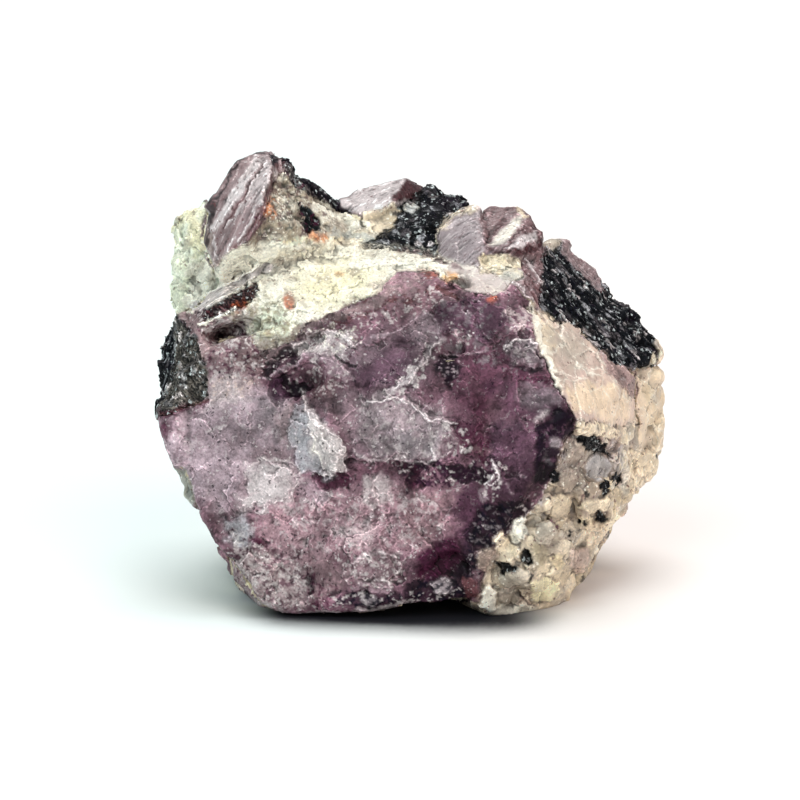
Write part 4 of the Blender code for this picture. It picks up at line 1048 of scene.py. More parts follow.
def streakDirections(points, mineral):
    # the tall crystal has its own streaks, each book of the crystals at the back a way of its own,
    # the other crystals another way, and seams a third
    if mineral == "blackMica":
        return unit(np.broadcast_to(seamStreaks, points.shape))
    if mineral != "crystal":
        return unit(np.broadcast_to(tallStreaks, points.shape))
    tall = (points[:, 0] < streakPlaces["tallRight"]) & (points[:, 2] > streakPlaces["tallFoot"])
    turn = fractions(books(points)[2])[:, 2] * math.pi
    own = np.stack([np.cos(turn), streakPlaces["bookLean"] * np.ones(len(turn)), np.sin(turn)], axis=1)
    ways = np.where((points[:, 1] > streakPlaces["booksFrom"])[:, None], own, shortStreaks)
    return unit(np.where(tall[:, None], tallStreaks, ways))


def blended(spot, body):
    # the photo's colour over the mineral's own
    return body * (1.0 - spot["cover"])[:, None] + spot["tint"]


def shaded(colour, factor):
    # each row of a colour times its own factor
    return colour * factor[:, None]


def spread(least, more, draw):
    # from least to that much more, by a draw from 0 to 1
    return least + more * draw


def patchy(points, size, seed, octaves, fade, low, high):
    # ragged patches: 0 where noise of that size is below low, and 1 where it is above high
    return smooth(low, high, rough(points, size, seed, octaves, fade))


def brightened(colour, times, more):
    # a colour times a number and a little more, kept under plain white
    return np.clip(times * colour + more, 0.0, 0.8)


# What each mineral's look says, with sizes and heights in millimetres. A bend is the size, push and seed
# of the waves that bend a pattern. Broken faces, like grains and flakes, have a size and a seed. A zone,
# cloud or grit is the size, seed, rounds and fade of a noise, and patches also say where it begins and is
# full. A row runs from the darkest to the lightest colour, and shades are the least and how much more.

# Broken quartz with feldspar grains, stained joints and black specks
quartzLook = {
    "bend": (1.8, 0.38, 31),
    "grain": (3.8, 41),
    "grainRise": 0.75,
    "chip": (1.5, 42),
    "chipRise": 0.09,
    "grit": (0.6, 43, 2),
    "gritRise": 0.03,
    "joint": 0.09,
    "jointDepth": 0.15,
    "filled": 0.65,
    "row": ["brown", "smokyQuartz", "stone", "quartzGrey", "cream", "tan", "cream", "sugarWhite"],
    "zone": (8.0, 61, 4, 0.6),
    "zoneShades": (0.52, 0.30),
    "grainSpread": 0.34,
    "pinkShare": 0.10,
    "pink": 0.7,
    "ownColour": 0.12,
    "stains": (4.5, 44, 3, 0.5, 0.15, 0.7),
    "stain": 0.38,
    "redJoints": (3.0, 45, 1, 0.5, 0.0, 0.6),
    "redJoint": 0.45,
    "cloud": (2.6, 48, 4, 0.7),
    "contrast": 0.22,
    "speckBend": (0.8, 0.4, 46),
    "speck": (1.5, 47),
    "speckShare": 0.06,
    "speckReach": 0.42,
    "speckStrength": 0.9,
    "chipShades": (0.95, 0.10),
    "edgeShades": (0.97, 0.03),
    "edgeWidth": 0.2,
    "grainShades": (0.84, 0.30),
}


def quartzSkin(spot):
    # broken grains with sunk and stained joints, chips on them, brown clouds and black specks
    look = quartzLook
    here = spot["points"]
    bent = wavy(here, *look["bend"])
    level, joint, code = brokenFaces(bent, *look["grain"])
    chip, chipJoint, chipCode = brokenFaces(bent, *look["chip"])
    groove = smooth(look["joint"], 0.0, joint)
    bare = 1.0 - look["filled"] * np.clip(spot["cover"], 0.0, 1.0)
    height = bare * (look["grainRise"] * level - look["jointDepth"] * groove) + look["chipRise"] * chip
    height += look["gritRise"] * rough(here, *look["grit"])
    draw = fractions(code)
    zone = spread(*look["zoneShades"], rough(here, *look["zone"])) + look["grainSpread"] * (draw[:, 1] - 0.5)
    body = toned(zone, look["row"])
    body = mixed(body, linear("pinkFeldspar"), look["pink"] * (draw[:, 0] < look["pinkShare"]))
    colour = mixed(blended(spot, body), body, look["ownColour"] * spot["cover"])
    colour = mixed(colour, linear("brownMauve"), look["stain"] * patchy(here, *look["stains"]) * bare)
    red = look["redJoint"] * bare * groove * patchy(here, *look["redJoints"])
    colour = mixed(colour, linear("redBrown"), red)
    colour = shaded(colour, np.exp(look["contrast"] * rough(bent, *look["cloud"])))
    near, _, speckCode, _ = grains(wavy(here, *look["speckBend"]), *look["speck"])
    speck = (fractions(speckCode)[:, 2] < look["speckShare"]) & (near < look["speckReach"])
    colour = mixed(colour, linear("black"), look["speckStrength"] * speck)
    shade = spread(*look["chipShades"], fractions(chipCode)[:, 1])
    shade *= spread(*look["edgeShades"], smooth(0.0, look["edgeWidth"], chipJoint))
    return height, shaded(colour, shade * spread(*look["grainShades"], draw[:, 2]))


# The violet cleavage face: broad sheets, flakes on them, and small round beads in one zone of the photo
micaLook = {
    "wideBend": (5.0, 1.3, 31),
    "smallBend": (1.1, 0.35, 35),
    "sheet": (7.0, 41),
    "sheetRise": 0.24,
    "flake": (2.3, 42),
    "flakeRise": 0.12,
    "grit": (0.8, 43, 2),
    "gritRise": 0.05,
    "row": ["darkPurple", "deepPurple", "purple", "wine", "mauve", "lilac", "greyLilac"],
    "zone": (7.0, 81, 4, 0.6),
    "zoneShades": (0.5, 0.30),
    "sheetSpread": 0.10,
    "cloud": (6.5, 44, 5, 0.74),
    "contrast": 0.56,
    "calmFrom": 0.15,
    "calmTo": 0.50,
    "lively": 1.1,
    "calming": 0.6,
    "flakeShades": (0.90, 0.20),
    "beadOutline": [245, 560, 262, 515, 300, 492, 346, 480, 420, 486, 440, 510, 425, 545, 390, 556, 330, 562,
                    280, 570],
    "beadSoft": 22,
    "beadElsewhere": 0.25,
    "beadBend": (1.3, 0.35, 51),
    "bead": (1.45, 52),
    "beadRise": 0.20,
    "beadRound": 1.6,
    "beadShades": (0.82, 0.34),
    "litFrom": 0.01,
    "litTo": 0.10,
    "milkOwn": 0.7,
    "milkLight": 0.65,
    "milkLeast": 0.07,
    "veils": (3.4, 61, 5, 0.78, 0.05, 0.85),
    "veil": 0.42,
    "edges": (5.0, 46, 1, 0.5, -0.5, 0.2),
    "edge": 0.55,
    "edgeWidth": 0.035,
    "tears": (3.0, 45, 3, 0.5, 0.0, 0.6),
    "tear": 0.55,
    "tearWidth": (0.10, 0.02),
    "rings": (2.6, 53, 1, 0.5, -0.2, 0.5),
    "ring": 0.5,
    "ringWidth": (0.16, 0.03),
    "windows": (3.0, 65, 4, 0.7, 0.25, 0.85),
    "window": 0.45,
    "crumbs": (0.9, 71, 3, 0.6, 0.45, 0.65),
    "crumbFields": (4.0, 74, 3, 0.5, 0.0, 0.7),
    "crumb": 0.4,
    "crumbLight": (2.0, 0.03),
    # dark pits: a painted shade of small pits
    "pits": (0.9, 77, 3, 0.6, 0.50, 0.70),
    "pitFields": (4.0, 80, 3, 0.5, 0.1, 0.8),
    "pit": 0.6,
}


def milky(colour, lit):
    # the colour seen through a thin pale film, brighter where the ground is light
    look = micaLook
    film = look["milkLight"] * colour.mean(axis=1) + look["milkLeast"] * lit
    return look["milkOwn"] * colour + film[:, None] * linear("pinkLilac")


def micaSkin(spot):
    # sheets and flakes under clouds of many sizes: colour times e to the contrast times the cloud,
    # then milky veils, dark windows and ragged crumbs where their own noise is high, and dark pits there,
    # a painted shade of small pits
    look = micaLook
    here = spot["points"]
    bent = wavy(wavy(here, *look["wideBend"]), *look["smallBend"])
    level, joint, code = brokenFaces(bent, *look["sheet"])
    flake, flakeJoint, flakeCode = brokenFaces(bent, *look["flake"])
    height = look["sheetRise"] * level + look["flakeRise"] * flake
    height += look["gritRise"] * rough(here, *look["grit"])
    zone = spread(*look["zoneShades"], rough(here, *look["zone"]))
    zone += look["sheetSpread"] * fractions(code)[:, 0]
    colour = blended(spot, toned(zone, look["row"]))
    lively = look["lively"] - look["calming"] * smooth(look["calmFrom"], look["calmTo"], colour.mean(axis=1))
    shade = np.exp(look["contrast"] * lively * rough(bent, *look["cloud"]))
    shade *= spread(*look["flakeShades"], fractions(flakeCode)[:, 1])
    inside = insideOutline(spot["pixels"], look["beadOutline"])
    beads = smooth(-look["beadSoft"], look["beadSoft"], inside)
    beads = np.where(spot["seen"], beads, look["beadElsewhere"])
    near, far, beadCode, _ = grains(wavy(here, *look["beadBend"]), *look["bead"])
    height += look["beadRise"] * beads * (0.5 - near * near * look["beadRound"])
    shade *= 1.0 + beads * (spread(*look["beadShades"], fractions(beadCode)[:, 2]) - 1.0)
    colour = shaded(colour, shade)
    lit = smooth(look["litFrom"], look["litTo"], colour.mean(axis=1))
    veil = look["veil"] * patchy(bent, *look["veils"])
    edge = look["edge"] * smooth(look["edgeWidth"], 0.0, joint) * patchy(here, *look["edges"])
    tear = look["tear"] * smooth(*look["tearWidth"], flakeJoint) * patchy(here, *look["tears"])
    ring = look["ring"] * smooth(*look["ringWidth"], far - near) * patchy(here, *look["rings"]) * beads
    colour = mixed(colour, milky(colour, lit), np.maximum.reduce([veil, edge, tear, ring]))
    colour = shaded(colour, 1.0 - look["window"] * lively * patchy(bent, *look["windows"]))
    crumb = patchy(here, *look["crumbs"]) * patchy(here, *look["crumbFields"])
    colour = mixed(colour, brightened(colour, *look["crumbLight"]), look["crumb"] * crumb * lit)
    pit = patchy(here, *look["pits"]) * patchy(here, *look["pitFields"])
    return height, shaded(colour, 1.0 - look["pit"] * lively * pit)


# Crystals of mica: grooves along them, painted paler on their crests and darker in their bottoms as painted
# highlight and shade, pale and dark bands, and books of sheets at the back
crystalLook = {
    "facetBend": (2.5, 0.5, 31),
    "facet": (5.5, 41),
    "facetRise": 0.10,
    "bookBend": (4.0, 0.8, 33),
    "book": (9.0, 46),
    "bookRise": 1.1,
    "backFrom": 11.0,
    "backTo": 14.0,
    "grooveBend": (3.0, 0.08, 32),
    "groove": (1.1, 43, 3, 0.7),
    "grooveStretch": 0.05,
    "grooveRise": 0.13,
    "grit": (0.8, 44, 2),
    "gritRise": 0.04,
    "row": ["redBrown", "brownMauve", "mauve", "mauve", "lilac", "greyLilac", "paleLilac"],
    "zone": (6.0, 81, 4, 0.65),
    "zoneStretch": 0.35,
    "zoneShades": (0.5, 0.28),
    "facetSpread": 0.10,
    "bookSpread": 0.8,
    "seam": 0.6,
    "seamWidth": (0.10, 0.02),
    "cloud": (2.0, 45, 3),
    "cloudStretch": 0.2,
    "contrast": 0.28,
    # the paler groove crests are a painted highlight, the darker groove bottoms a painted shade
    "paleLight": (1.6, 0.05),
    "pale": 0.8,
    "paleFrom": (0.50, 0.75),
    "dark": 0.5,
    "darkFrom": (-0.45, -0.8),
}


def crystalSkin(spot):
    # long grooves with pale crests, a painted highlight, and darker reddish bottoms, a painted shade,
    # and chips at the ends of the sheets
    look = crystalLook
    here = spot["points"]
    level, _, code = brokenFaces(wavy(here, *look["facetBend"]), *look["facet"])
    long = stretched(wavy(here, *look["grooveBend"]), spot["ways"], look["grooveStretch"])
    band = rough(long, *look["groove"])
    block, seam, blockCode = books(here)
    back = smooth(look["backFrom"], look["backTo"], here[:, 1]) * (1.0 - np.clip(spot["cover"], 0.0, 1.0))
    height = look["facetRise"] * level + look["grooveRise"] * band
    height += look["gritRise"] * rough(here, *look["grit"])
    height += look["bookRise"] * back * block
    wide = rough(stretched(here, spot["ways"], look["zoneStretch"]), *look["zone"])
    zone = spread(*look["zoneShades"], wide) + look["facetSpread"] * (fractions(code)[:, 0] - 0.5)
    zone += look["bookSpread"] * back * (fractions(blockCode)[:, 1] - 0.5)
    colour = blended(spot, toned(zone, look["row"]))
    colour = mixed(colour, linear("darkRed"), look["seam"] * back * smooth(*look["seamWidth"], seam))
    cloud = rough(stretched(here, spot["ways"], look["cloudStretch"]), *look["cloud"])
    colour = shaded(colour, 1.0 + look["contrast"] * cloud)
    pale = look["pale"] * smooth(*look["paleFrom"], band)
    colour = mixed(colour, brightened(colour, *look["paleLight"]), pale)
    return height, shaded(colour, 1.0 - look["dark"] * smooth(*look["darkFrom"], band))


# Black mica seams: small flakes, some of them bright
blackLook = {
    "bend": (1.6, 0.5, 31),
    "stretch": 0.7,
    "flake": (1.05, 42),
    "flakeRise": 0.34,
    "clump": (3.2, 41),
    "clumpRise": 0.35,
    "mixture": {"black": 18, "blueBlack": 6, "nightPurple": 3, "darkGrey": 3, "blueGrey": 5, "paleLilac": 3},
    "ownColour": 0.55,
    "flakeShades": (0.55, 0.9),
    "clumpShades": (0.75, 0.5),
    "edgeShades": (0.6, 0.4),
    "edgeWidth": (0.02, 0.2),
}


def blackSkin(spot):
    # overlapping little flakes that lie along the seam, in clumps, each with its own brightness
    look = blackLook
    here = stretched(wavy(spot["points"], *look["bend"]), spot["ways"], look["stretch"])
    clump, _, clumpCode = brokenFaces(here, *look["clump"])
    flake, flakeJoint, code = brokenFaces(here, *look["flake"])
    height = look["clumpRise"] * clump + look["flakeRise"] * flake
    body = chosen(code, look["mixture"])
    own = look["ownColour"] * spot["cover"] * smooth(1.0, 0.8, spot["cover"])
    colour = mixed(blended(spot, body), body, own)
    shade = spread(*look["flakeShades"], fractions(code)[:, 0])
    shade *= spread(*look["clumpShades"], fractions(clumpCode)[:, 1])
    shade *= spread(*look["edgeShades"], smooth(*look["edgeWidth"], flakeJoint))
    return height, shaded(colour, shade)


# Sugary albite: soft lumps under small grains
albiteLook = {
    "bend": (1.4, 0.4, 31),
    "lump": (3.4, 41),
    "lumpRise": 0.38,
    "sugar": (0.95, 42),
    "sugarRise": 0.20,
    "sugarRound": 1.4,
    "row": ["stone", "quartzGrey", "greenWhite", "cream", "paleYellow", "sugarWhite"],
    "zone": (4.0, 61, 4, 0.65),
    "zoneShades": (0.6, 0.28),
    "sugarSpread": 0.5,
    "ownColour": 0.15,
    "greys": (2.6, 44, 3, 0.5, 0.25, 0.75),
    "grey": 0.5,
    "sugarShades": (0.80, 0.26),
}


def albiteSkin(spot):
    # rounded lumps and small bright grains, with grey clear grains between them
    look = albiteLook
    here = spot["points"]
    bent = wavy(here, *look["bend"])
    lump = brokenFaces(bent, *look["lump"])[0]
    near, _, sugarCode, _ = grains(bent, *look["sugar"])
    draw = fractions(sugarCode)
    height = look["lumpRise"] * lump + look["sugarRise"] * (0.5 - near * near * look["sugarRound"])
    zone = spread(*look["zoneShades"], rough(here, *look["zone"])) + look["sugarSpread"] * (draw[:, 0] - 0.5)
    body = toned(zone, look["row"])
    colour = mixed(blended(spot, body), body, look["ownColour"] * spot["cover"])
    colour = mixed(colour, linear("smokyQuartz"), look["grey"] * patchy(here, *look["greys"]))
    return height, shaded(colour, spread(*look["sugarShades"], draw[:, 1]))


# Feldspar cleavage: large flat steps with few chips
feldsparLook = {
    "bend": (2.4, 0.6, 31),
    "step": (5.2, 41),
    "stepRise": 0.55,
    "chip": (1.9, 42),
    "chipRise": 0.14,
    "grit": (0.9, 43, 2),
    "gritRise": 0.05,
    "filled": 0.6,
    "row": ["quartzGrey", "pinkFeldspar", "peach", "pinkFeldspar", "cream"],
    "zone": (7.0, 61, 3),
    "zoneShades": (0.5, 0.3),
    "stepSpread": 0.2,
    "cloud": (2.8, 44, 3),
    "contrast": 0.12,
    "chipShades": (0.92, 0.16),
    "edge": 0.5,
    "edgeWidth": 0.05,
    "greys": (3.5, 45, 3, 0.5, 0.2, 0.8),
    "grey": 0.35,
}


def feldsparSkin(spot):
    # flat steps with bright edges under milky clouds
    look = feldsparLook
    here = spot["points"]
    bent = wavy(here, *look["bend"])
    step, joint, code = brokenFaces(bent, *look["step"])
    chip, _, chipCode = brokenFaces(bent, *look["chip"])
    bare = 1.0 - look["filled"] * np.clip(spot["cover"], 0.0, 1.0)
    height = bare * look["stepRise"] * step + look["chipRise"] * chip
    height += look["gritRise"] * rough(here, *look["grit"])
    zone = spread(*look["zoneShades"], rough(here, *look["zone"]))
    zone += look["stepSpread"] * (fractions(code)[:, 0] - 0.5)
    colour = blended(spot, toned(zone, look["row"]))
    cloud = 1.0 + look["contrast"] * rough(here, *look["cloud"])
    colour = shaded(colour, cloud * spread(*look["chipShades"], fractions(chipCode)[:, 1]))
    colour = mixed(colour, linear("sugarWhite"), look["edge"] * smooth(look["edgeWidth"], 0.0, joint))
    return height, mixed(colour, linear("quartzGrey"), look["grey"] * patchy(here, *look["greys"]))


skins = {"quartz": quartzSkin, "mica": micaSkin, "crystal": crystalSkin, "blackMica": blackSkin,
         "albite": albiteSkin, "feldspar": feldsparSkin}

# How the whole lump is netted, in millimetres: size of its squares, rounds of smoothing, how high above
# the table the relief begins, reach of its edges and hollows, and the shell that closes each piece behind
skin = {
    "spacing": 0.28,
    "smoothing": 2,
    "voteRounds": 2,
    "ground": (0.2, 1.6),
    "crestReach": 0.13,
    "hollowRounds": 14,
    "hollowReach": 0.55,
    "shellDepth": 0.45,
    "innerShare": 0.10,
    "limit": 195000,
}


def dressed(points, normals, pairs):
    # the whole relief and colour: returns moved points, mineral numbers and what each point carries
    kind, tint, cover, rise, seen, pixels = paintedMinerals(points, normals)
    tone = np.zeros_like(points)
    ways = np.zeros_like(points)
    ways[:, 2] = 1.0
    for number, mineral in enumerate(minerals):
        rows = np.flatnonzero(kind == number)
        ways[rows] = streakDirections(points[rows], mineral)
        spot = {"points": points[rows], "pixels": pixels[rows], "seen": seen[rows], "tint": tint[rows],
                "cover": cover[rows], "ways": ways[rows]}
        height, colour = skins[mineral](spot)
        rise[rows] += height
        tone[rows] = np.clip(colour, 0.0, 1.0)
    ground = smooth(*skin["ground"], points[:, 2])
    low, high = (np.array(corner) / metre for corner in cadBox)
    moved = np.clip(points + normals * (rise * ground)[:, None], low, high)
    # crest and bulge are the masks of the painted highlight on crests and the painted shade in hollows
    crest = ((moved - neighbourMean(moved, pairs)) * normals).sum(axis=1) / skin["crestReach"]
    settled = moved.copy()
    for _ in range(skin["hollowRounds"]):
        settled = neighbourMean(settled, pairs)
    bulge = ((moved - settled) * normals).sum(axis=1) / skin["hollowReach"]
    carried = {"tone": tone, "streak": ways}
    for name, value in (("crest", crest), ("bulge", bulge)):
        carried[name] = np.clip(0.5 + value, 0.0, 1.0)
    return moved, kind, carried


def squareKinds(quads, kind, count):
    # the mineral of each square: the commonest among its corners and the squares round them
    label = kind[quads[:, 0]]
    for _ in range(skin["voteRounds"]):
        votes = np.zeros(count * len(minerals))
        for corner in range(4):
            votes += np.bincount(quads[:, corner] * len(minerals) + label, minlength=len(votes))
        table = votes.reshape(count, len(minerals))
        label = sum(table[quads[:, corner]] for corner in range(4)).argmax(axis=1)
    return label


def writeMesh(name, points, faces, carried):
    # puts arrays into a mesh: points in millimetres, faces as rows of three or four corners
    mesh = bpy.data.meshes.new(name)
    mesh.vertices.add(len(points))
    mesh.vertices.foreach_set("co", (points * metre).ravel())
    mesh.loops.add(faces.size)
    mesh.loops.foreach_set("vertex_index", faces.ravel().astype(np.int32))
    mesh.polygons.add(len(faces))
    mesh.polygons.foreach_set("loop_start", np.arange(0, faces.size, faces.shape[1], dtype=np.int32))
    mesh.update(calc_edges=True)
    for key, data in carried.items():
        if key == "tone":
            layer = mesh.attributes.new(key, "FLOAT_COLOR", "POINT")
            layer.data.foreach_set("color", np.column_stack([data, np.ones(len(data))]).ravel())
        elif data.ndim == 2:
            layer = mesh.attributes.new(key, "FLOAT_VECTOR", "POINT")
            layer.data.foreach_set("vector", data.ravel())
        else:
            layer = mesh.attributes.new(key, "FLOAT", "POINT")
            layer.data.foreach_set("value", data)
    mesh.polygons.foreach_set("use_smooth", np.ones(len(faces), bool))
    piece = bpy.data.objects.new(name, mesh)
    bpy.context.scene.collection.objects.link(piece)
    return piece


def finished(piece):
    # works the piece's modifiers into its mesh
    made = bpy.data.meshes.new_from_object(piece.evaluated_get(bpy.context.evaluated_depsgraph_get()))
    old = piece.data
    piece.modifiers.clear()
    piece.vertex_groups.clear()
    piece.data = made
    bpy.data.meshes.remove(old)


def closedBehind(piece):
    # gives a mineral's skin a thin inner side that closes it, coarser than the outside; a
    # skin with too many triangles is thinned as well, where it is flattest
    inner = piece.vertex_groups.new(name="inner")
    shell = piece.modifiers.new("Shell", "SOLIDIFY")
    shell.thickness = skin["shellDepth"] * metre
    shell.offset = -1
    shell.shell_vertex_group = inner.name
    thin = piece.modifiers.new("Coarse inside", "DECIMATE")
    thin.vertex_group = inner.name
    thin.ratio = 0.5 + 0.5 * skin["innerShare"]
    finished(piece)
    triangles = sum(len(face.vertices) - 2 for face in piece.data.polygons)
    if triangles > skin["limit"]:
        thin = piece.modifiers.new("Thin out", "DECIMATE")
        thin.ratio = skin["limit"] / triangles
        finished(piece)


# The shader groups that several minerals share, and the fixed part of their shapes: bends are the scale
# and the push of a noise, and the other pairs are where a mask begins and is full
groupShapes = {
    "fleckBend": (1.7, 0.8),
    "clusterScale": 0.4,
    "cluster": (0.40, 0.62),
    "crowding": 2.4,
    "raggedScale": 1.8,
    "ragged": 1.6,
    "chip": (1.30, 1.12),
    "lineBend": (0.5, 3.6),
    "gapScale": 0.5,
    "gapEdge": 0.08,
    # where the painted highlight on crests begins and is full, and the tops of the painted shade in small
    # and wide hollows
    "crest": (0.60, 1.0),
    "smallHollow": 0.40,
    "hollow": 0.50,
}


def newGroup(name, inputs, outputs):
    # an empty group with named sockets, and its two end nodes
    group = bpy.data.node_groups.new(name, "ShaderNodeTree")
    for label, value in inputs.items():
        kind = "NodeSocketVector" if isinstance(value, tuple) else "NodeSocketFloat"
        group.interface.new_socket(label, in_out="INPUT", socket_type=kind).default_value = value
    for label in outputs:
        group.interface.new_socket(label, in_out="OUTPUT", socket_type="NodeSocketFloat")
    return group, group.nodes.new("NodeGroupInput"), group.nodes.new("NodeGroupOutput")


def feed(tree, socket, value):
    # puts a number, a colour name or another node's output into a socket
    if isinstance(value, str):
        socket.default_value = (*linear(value), 1.0)
    elif isinstance(value, (int, float, tuple)):
        socket.default_value = value
    else:
        tree.links.new(value, socket)


def mathNode(tree, operation, *values):
    # a sum, product, comparison or the like of numbers
    node = tree.nodes.new("ShaderNodeMath")
    node.operation = operation
    for socket, value in zip(node.inputs, values):
        feed(tree, socket, value)
    return node.outputs[0]


def vectorNode(tree, operation, *values):
    # the same for vectors, where a dot product gives a number
    node = tree.nodes.new("ShaderNodeVectorMath")
    node.operation = operation
    for socket, value in zip(node.inputs, values):
        feed(tree, socket, value)
    return node.outputs["Value"] if operation == "DOT_PRODUCT" else node.outputs["Vector"]


def scaledNode(tree, vector, factor):
    # a vector or a colour times a grey factor
    node = tree.nodes.new("ShaderNodeVectorMath")
    node.operation = "SCALE"
    feed(tree, node.inputs[0], vector)
    feed(tree, node.inputs["Scale"], factor)
    return node.outputs["Vector"]


def rangeNode(tree, value, low, high, newLow=0.0, newHigh=1.0):
    # a smooth step from one range to another
    node = tree.nodes.new("ShaderNodeMapRange")
    node.interpolation_type = "SMOOTHSTEP"
    labels = ("Value", "From Min", "From Max", "To Min", "To Max")
    for label, number in zip(labels, (value, low, high, newLow, newHigh)):
        feed(tree, node.inputs[label], number)
    return node.outputs["Result"]


def noiseNode(tree, place, scale, detail=2.0, roughness=0.5):
    # smooth noise, with its scale in lumps per millimetre
    node = tree.nodes.new("ShaderNodeTexNoise")
    for label, value in (("Vector", place), ("Scale", scale), ("Detail", detail), ("Roughness", roughness)):
        feed(tree, node.inputs[label], value)
    return node


def objectPlace(tree):
    # the point in millimetres
    return scaledNode(tree, tree.nodes.new("ShaderNodeTexCoord").outputs["Object"], 1.0 / metre)


def attribute(tree, name, output):
    # what the mesh carries at each point under a name
    node = tree.nodes.new("ShaderNodeAttribute")
    node.attribute_name = name
    return node.outputs[output]


def bentPlace(tree, place, scale, amount, seed):
    # the point pushed about by noise and moved by a seed
    noise = noiseNode(tree, place, scale, 3.0, 0.6)
    bent = vectorNode(tree, "MULTIPLY_ADD", noise.outputs["Color"], (amount, amount, amount), place)
    return vectorNode(tree, "ADD", bent, seed)


def flecksGroup():
    # small separate chips, on the mica painted glints and the painted shade of small pits: a share of the
    # cells of a bent random pattern, in clusters
    group, start, end = newGroup("flecks", {"Size": 0.6, "Share": 0.1, "Seed": 0.0}, ["Mask"])
    shape = groupShapes
    place = bentPlace(group, objectPlace(group), *shape["fleckBend"], start.outputs["Seed"])
    cells = group.nodes.new("ShaderNodeTexVoronoi")
    feed(group, cells.inputs["Vector"], place)
    feed(group, cells.inputs["Scale"], mathNode(group, "DIVIDE", 1.0, start.outputs["Size"]))
    parts = group.nodes.new("ShaderNodeSeparateColor")
    feed(group, parts.inputs[0], cells.outputs["Color"])
    cluster = noiseNode(group, place, shape["clusterScale"])
    most = mathNode(group, "MULTIPLY", start.outputs["Share"], shape["crowding"])
    share = rangeNode(group, cluster.outputs["Fac"], *shape["cluster"], 0.0, most)
    picked = mathNode(group, "LESS_THAN", parts.outputs[0], share)
    fine = mathNode(group, "DIVIDE", shape["raggedScale"], start.outputs["Size"])
    ragged = noiseNode(group, place, fine, 3.0, 0.7)
    away = cells.outputs["Distance"]
    reach = mathNode(group, "MULTIPLY_ADD", ragged.outputs["Fac"], shape["ragged"], away)
    chip = rangeNode(group, reach, *shape["chip"])
    feed(group, end.inputs["Mask"], mathNode(group, "MULTIPLY", picked, chip))
    return group


def linesGroup():
    # thin broken lines, like the edges of flakes, which on the mica are painted highlights: the borders of
    # bent cells, with gaps
    inputs = {"Size": 4.0, "Width": 0.05, "Gaps": 0.5, "Seed": 0.0}
    group, start, end = newGroup("thinLines", inputs, ["Mask"])
    shape = groupShapes
    place = bentPlace(group, objectPlace(group), *shape["lineBend"], start.outputs["Seed"])
    cells = group.nodes.new("ShaderNodeTexVoronoi")
    cells.feature = "DISTANCE_TO_EDGE"
    feed(group, cells.inputs["Vector"], place)
    feed(group, cells.inputs["Scale"], mathNode(group, "DIVIDE", 1.0, start.outputs["Size"]))
    line = rangeNode(group, cells.outputs["Distance"], start.outputs["Width"], 0.0)
    breaks = noiseNode(group, place, shape["gapScale"], 3.0)
    full = mathNode(group, "ADD", start.outputs["Gaps"], shape["gapEdge"])
    shown = rangeNode(group, breaks.outputs["Fac"], start.outputs["Gaps"], full)
    feed(group, end.inputs["Mask"], mathNode(group, "MULTIPLY", line, shown))
    return group


def streaksGroup():
    # long fine streaks along a direction: noise on a place that is drawn together that way
    inputs = {"Direction": (0.0, 0.0, 1.0), "Size": 0.5, "Length": 0.06}
    group, start, end = newGroup("streaks", inputs, ["Value"])
    place = objectPlace(group)
    way = start.outputs["Direction"]
    back = mathNode(group, "MULTIPLY", vectorNode(group, "DOT_PRODUCT", place, way),
                    mathNode(group, "SUBTRACT", start.outputs["Length"], 1.0))
    drawn = vectorNode(group, "ADD", place, scaledNode(group, way, back))
    grain = noiseNode(group, drawn, mathNode(group, "DIVIDE", 1.0, start.outputs["Size"]), 3.0, 0.65)
    feed(group, end.inputs["Value"], grain.outputs["Fac"])
    return group


def mottleGroup():
    # soft cloudy variation and a fine grain, both from 0 to 1
    group, start, end = newGroup("mottle", {"Cloud Size": 3.0, "Grain Size": 0.3}, ["Cloud", "Grain"])
    place = objectPlace(group)
    for label, detail in (("Cloud", 4.0), ("Grain", 3.0)):
        scale = mathNode(group, "DIVIDE", 1.0, start.outputs[label + " Size"])
        feed(group, end.inputs[label], noiseNode(group, place, scale, detail, 0.62).outputs["Fac"])
    return group


def crestAndHollowShadeGroup():
    # painted highlight and shade: how much brighter the crests and darker the hollows of the skin
    # are painted, from what the mesh carries
    group, start, end = newGroup("crestAndHollowShade", {"Crest": 0.3, "Hollow": 0.3, "Small Hollow": 0.3}, ["Factor"])
    crest = attribute(group, "crest", "Fac")
    bulge = attribute(group, "bulge", "Fac")
    shape = groupShapes
    bright = rangeNode(group, crest, *shape["crest"])
    factor = mathNode(group, "MULTIPLY_ADD", bright, start.outputs["Crest"], 1.0)
    parts = (("Small Hollow", crest, shape["smallHollow"]), ("Hollow", bulge, shape["hollow"]))
    for label, value, top in parts:
        dark = mathNode(group, "MULTIPLY", rangeNode(group, value, top, 0.0), start.outputs[label])
        factor = mathNode(group, "MULTIPLY", factor, mathNode(group, "SUBTRACT", 1.0, dark))
    feed(group, end.inputs["Factor"], factor)
    return group


groups = {"flecks": flecksGroup(), "lines": linesGroup(), "streaks": streaksGroup(), "mottle": mottleGroup(),
          "crestAndHollowShade": crestAndHollowShadeGroup()}


def groupNode(tree, kind, **values):
    # places a shared group with this material's own values
    node = tree.nodes.new("ShaderNodeGroup")
    node.node_tree = groups[kind]
    for label, value in values.items():
        feed(tree, node.inputs[label.replace("_", " ")], value)
    return node.outputs


def colourMix(tree, first, second, share):
    # mixes two colours by a mask
    node = tree.nodes.new("ShaderNodeMix")
    node.data_type = "RGBA"
    for socket, value in ((node.inputs[0], share), (node.inputs[6], first), (node.inputs[7], second)):
        feed(tree, socket, value)
    return node.outputs[2]
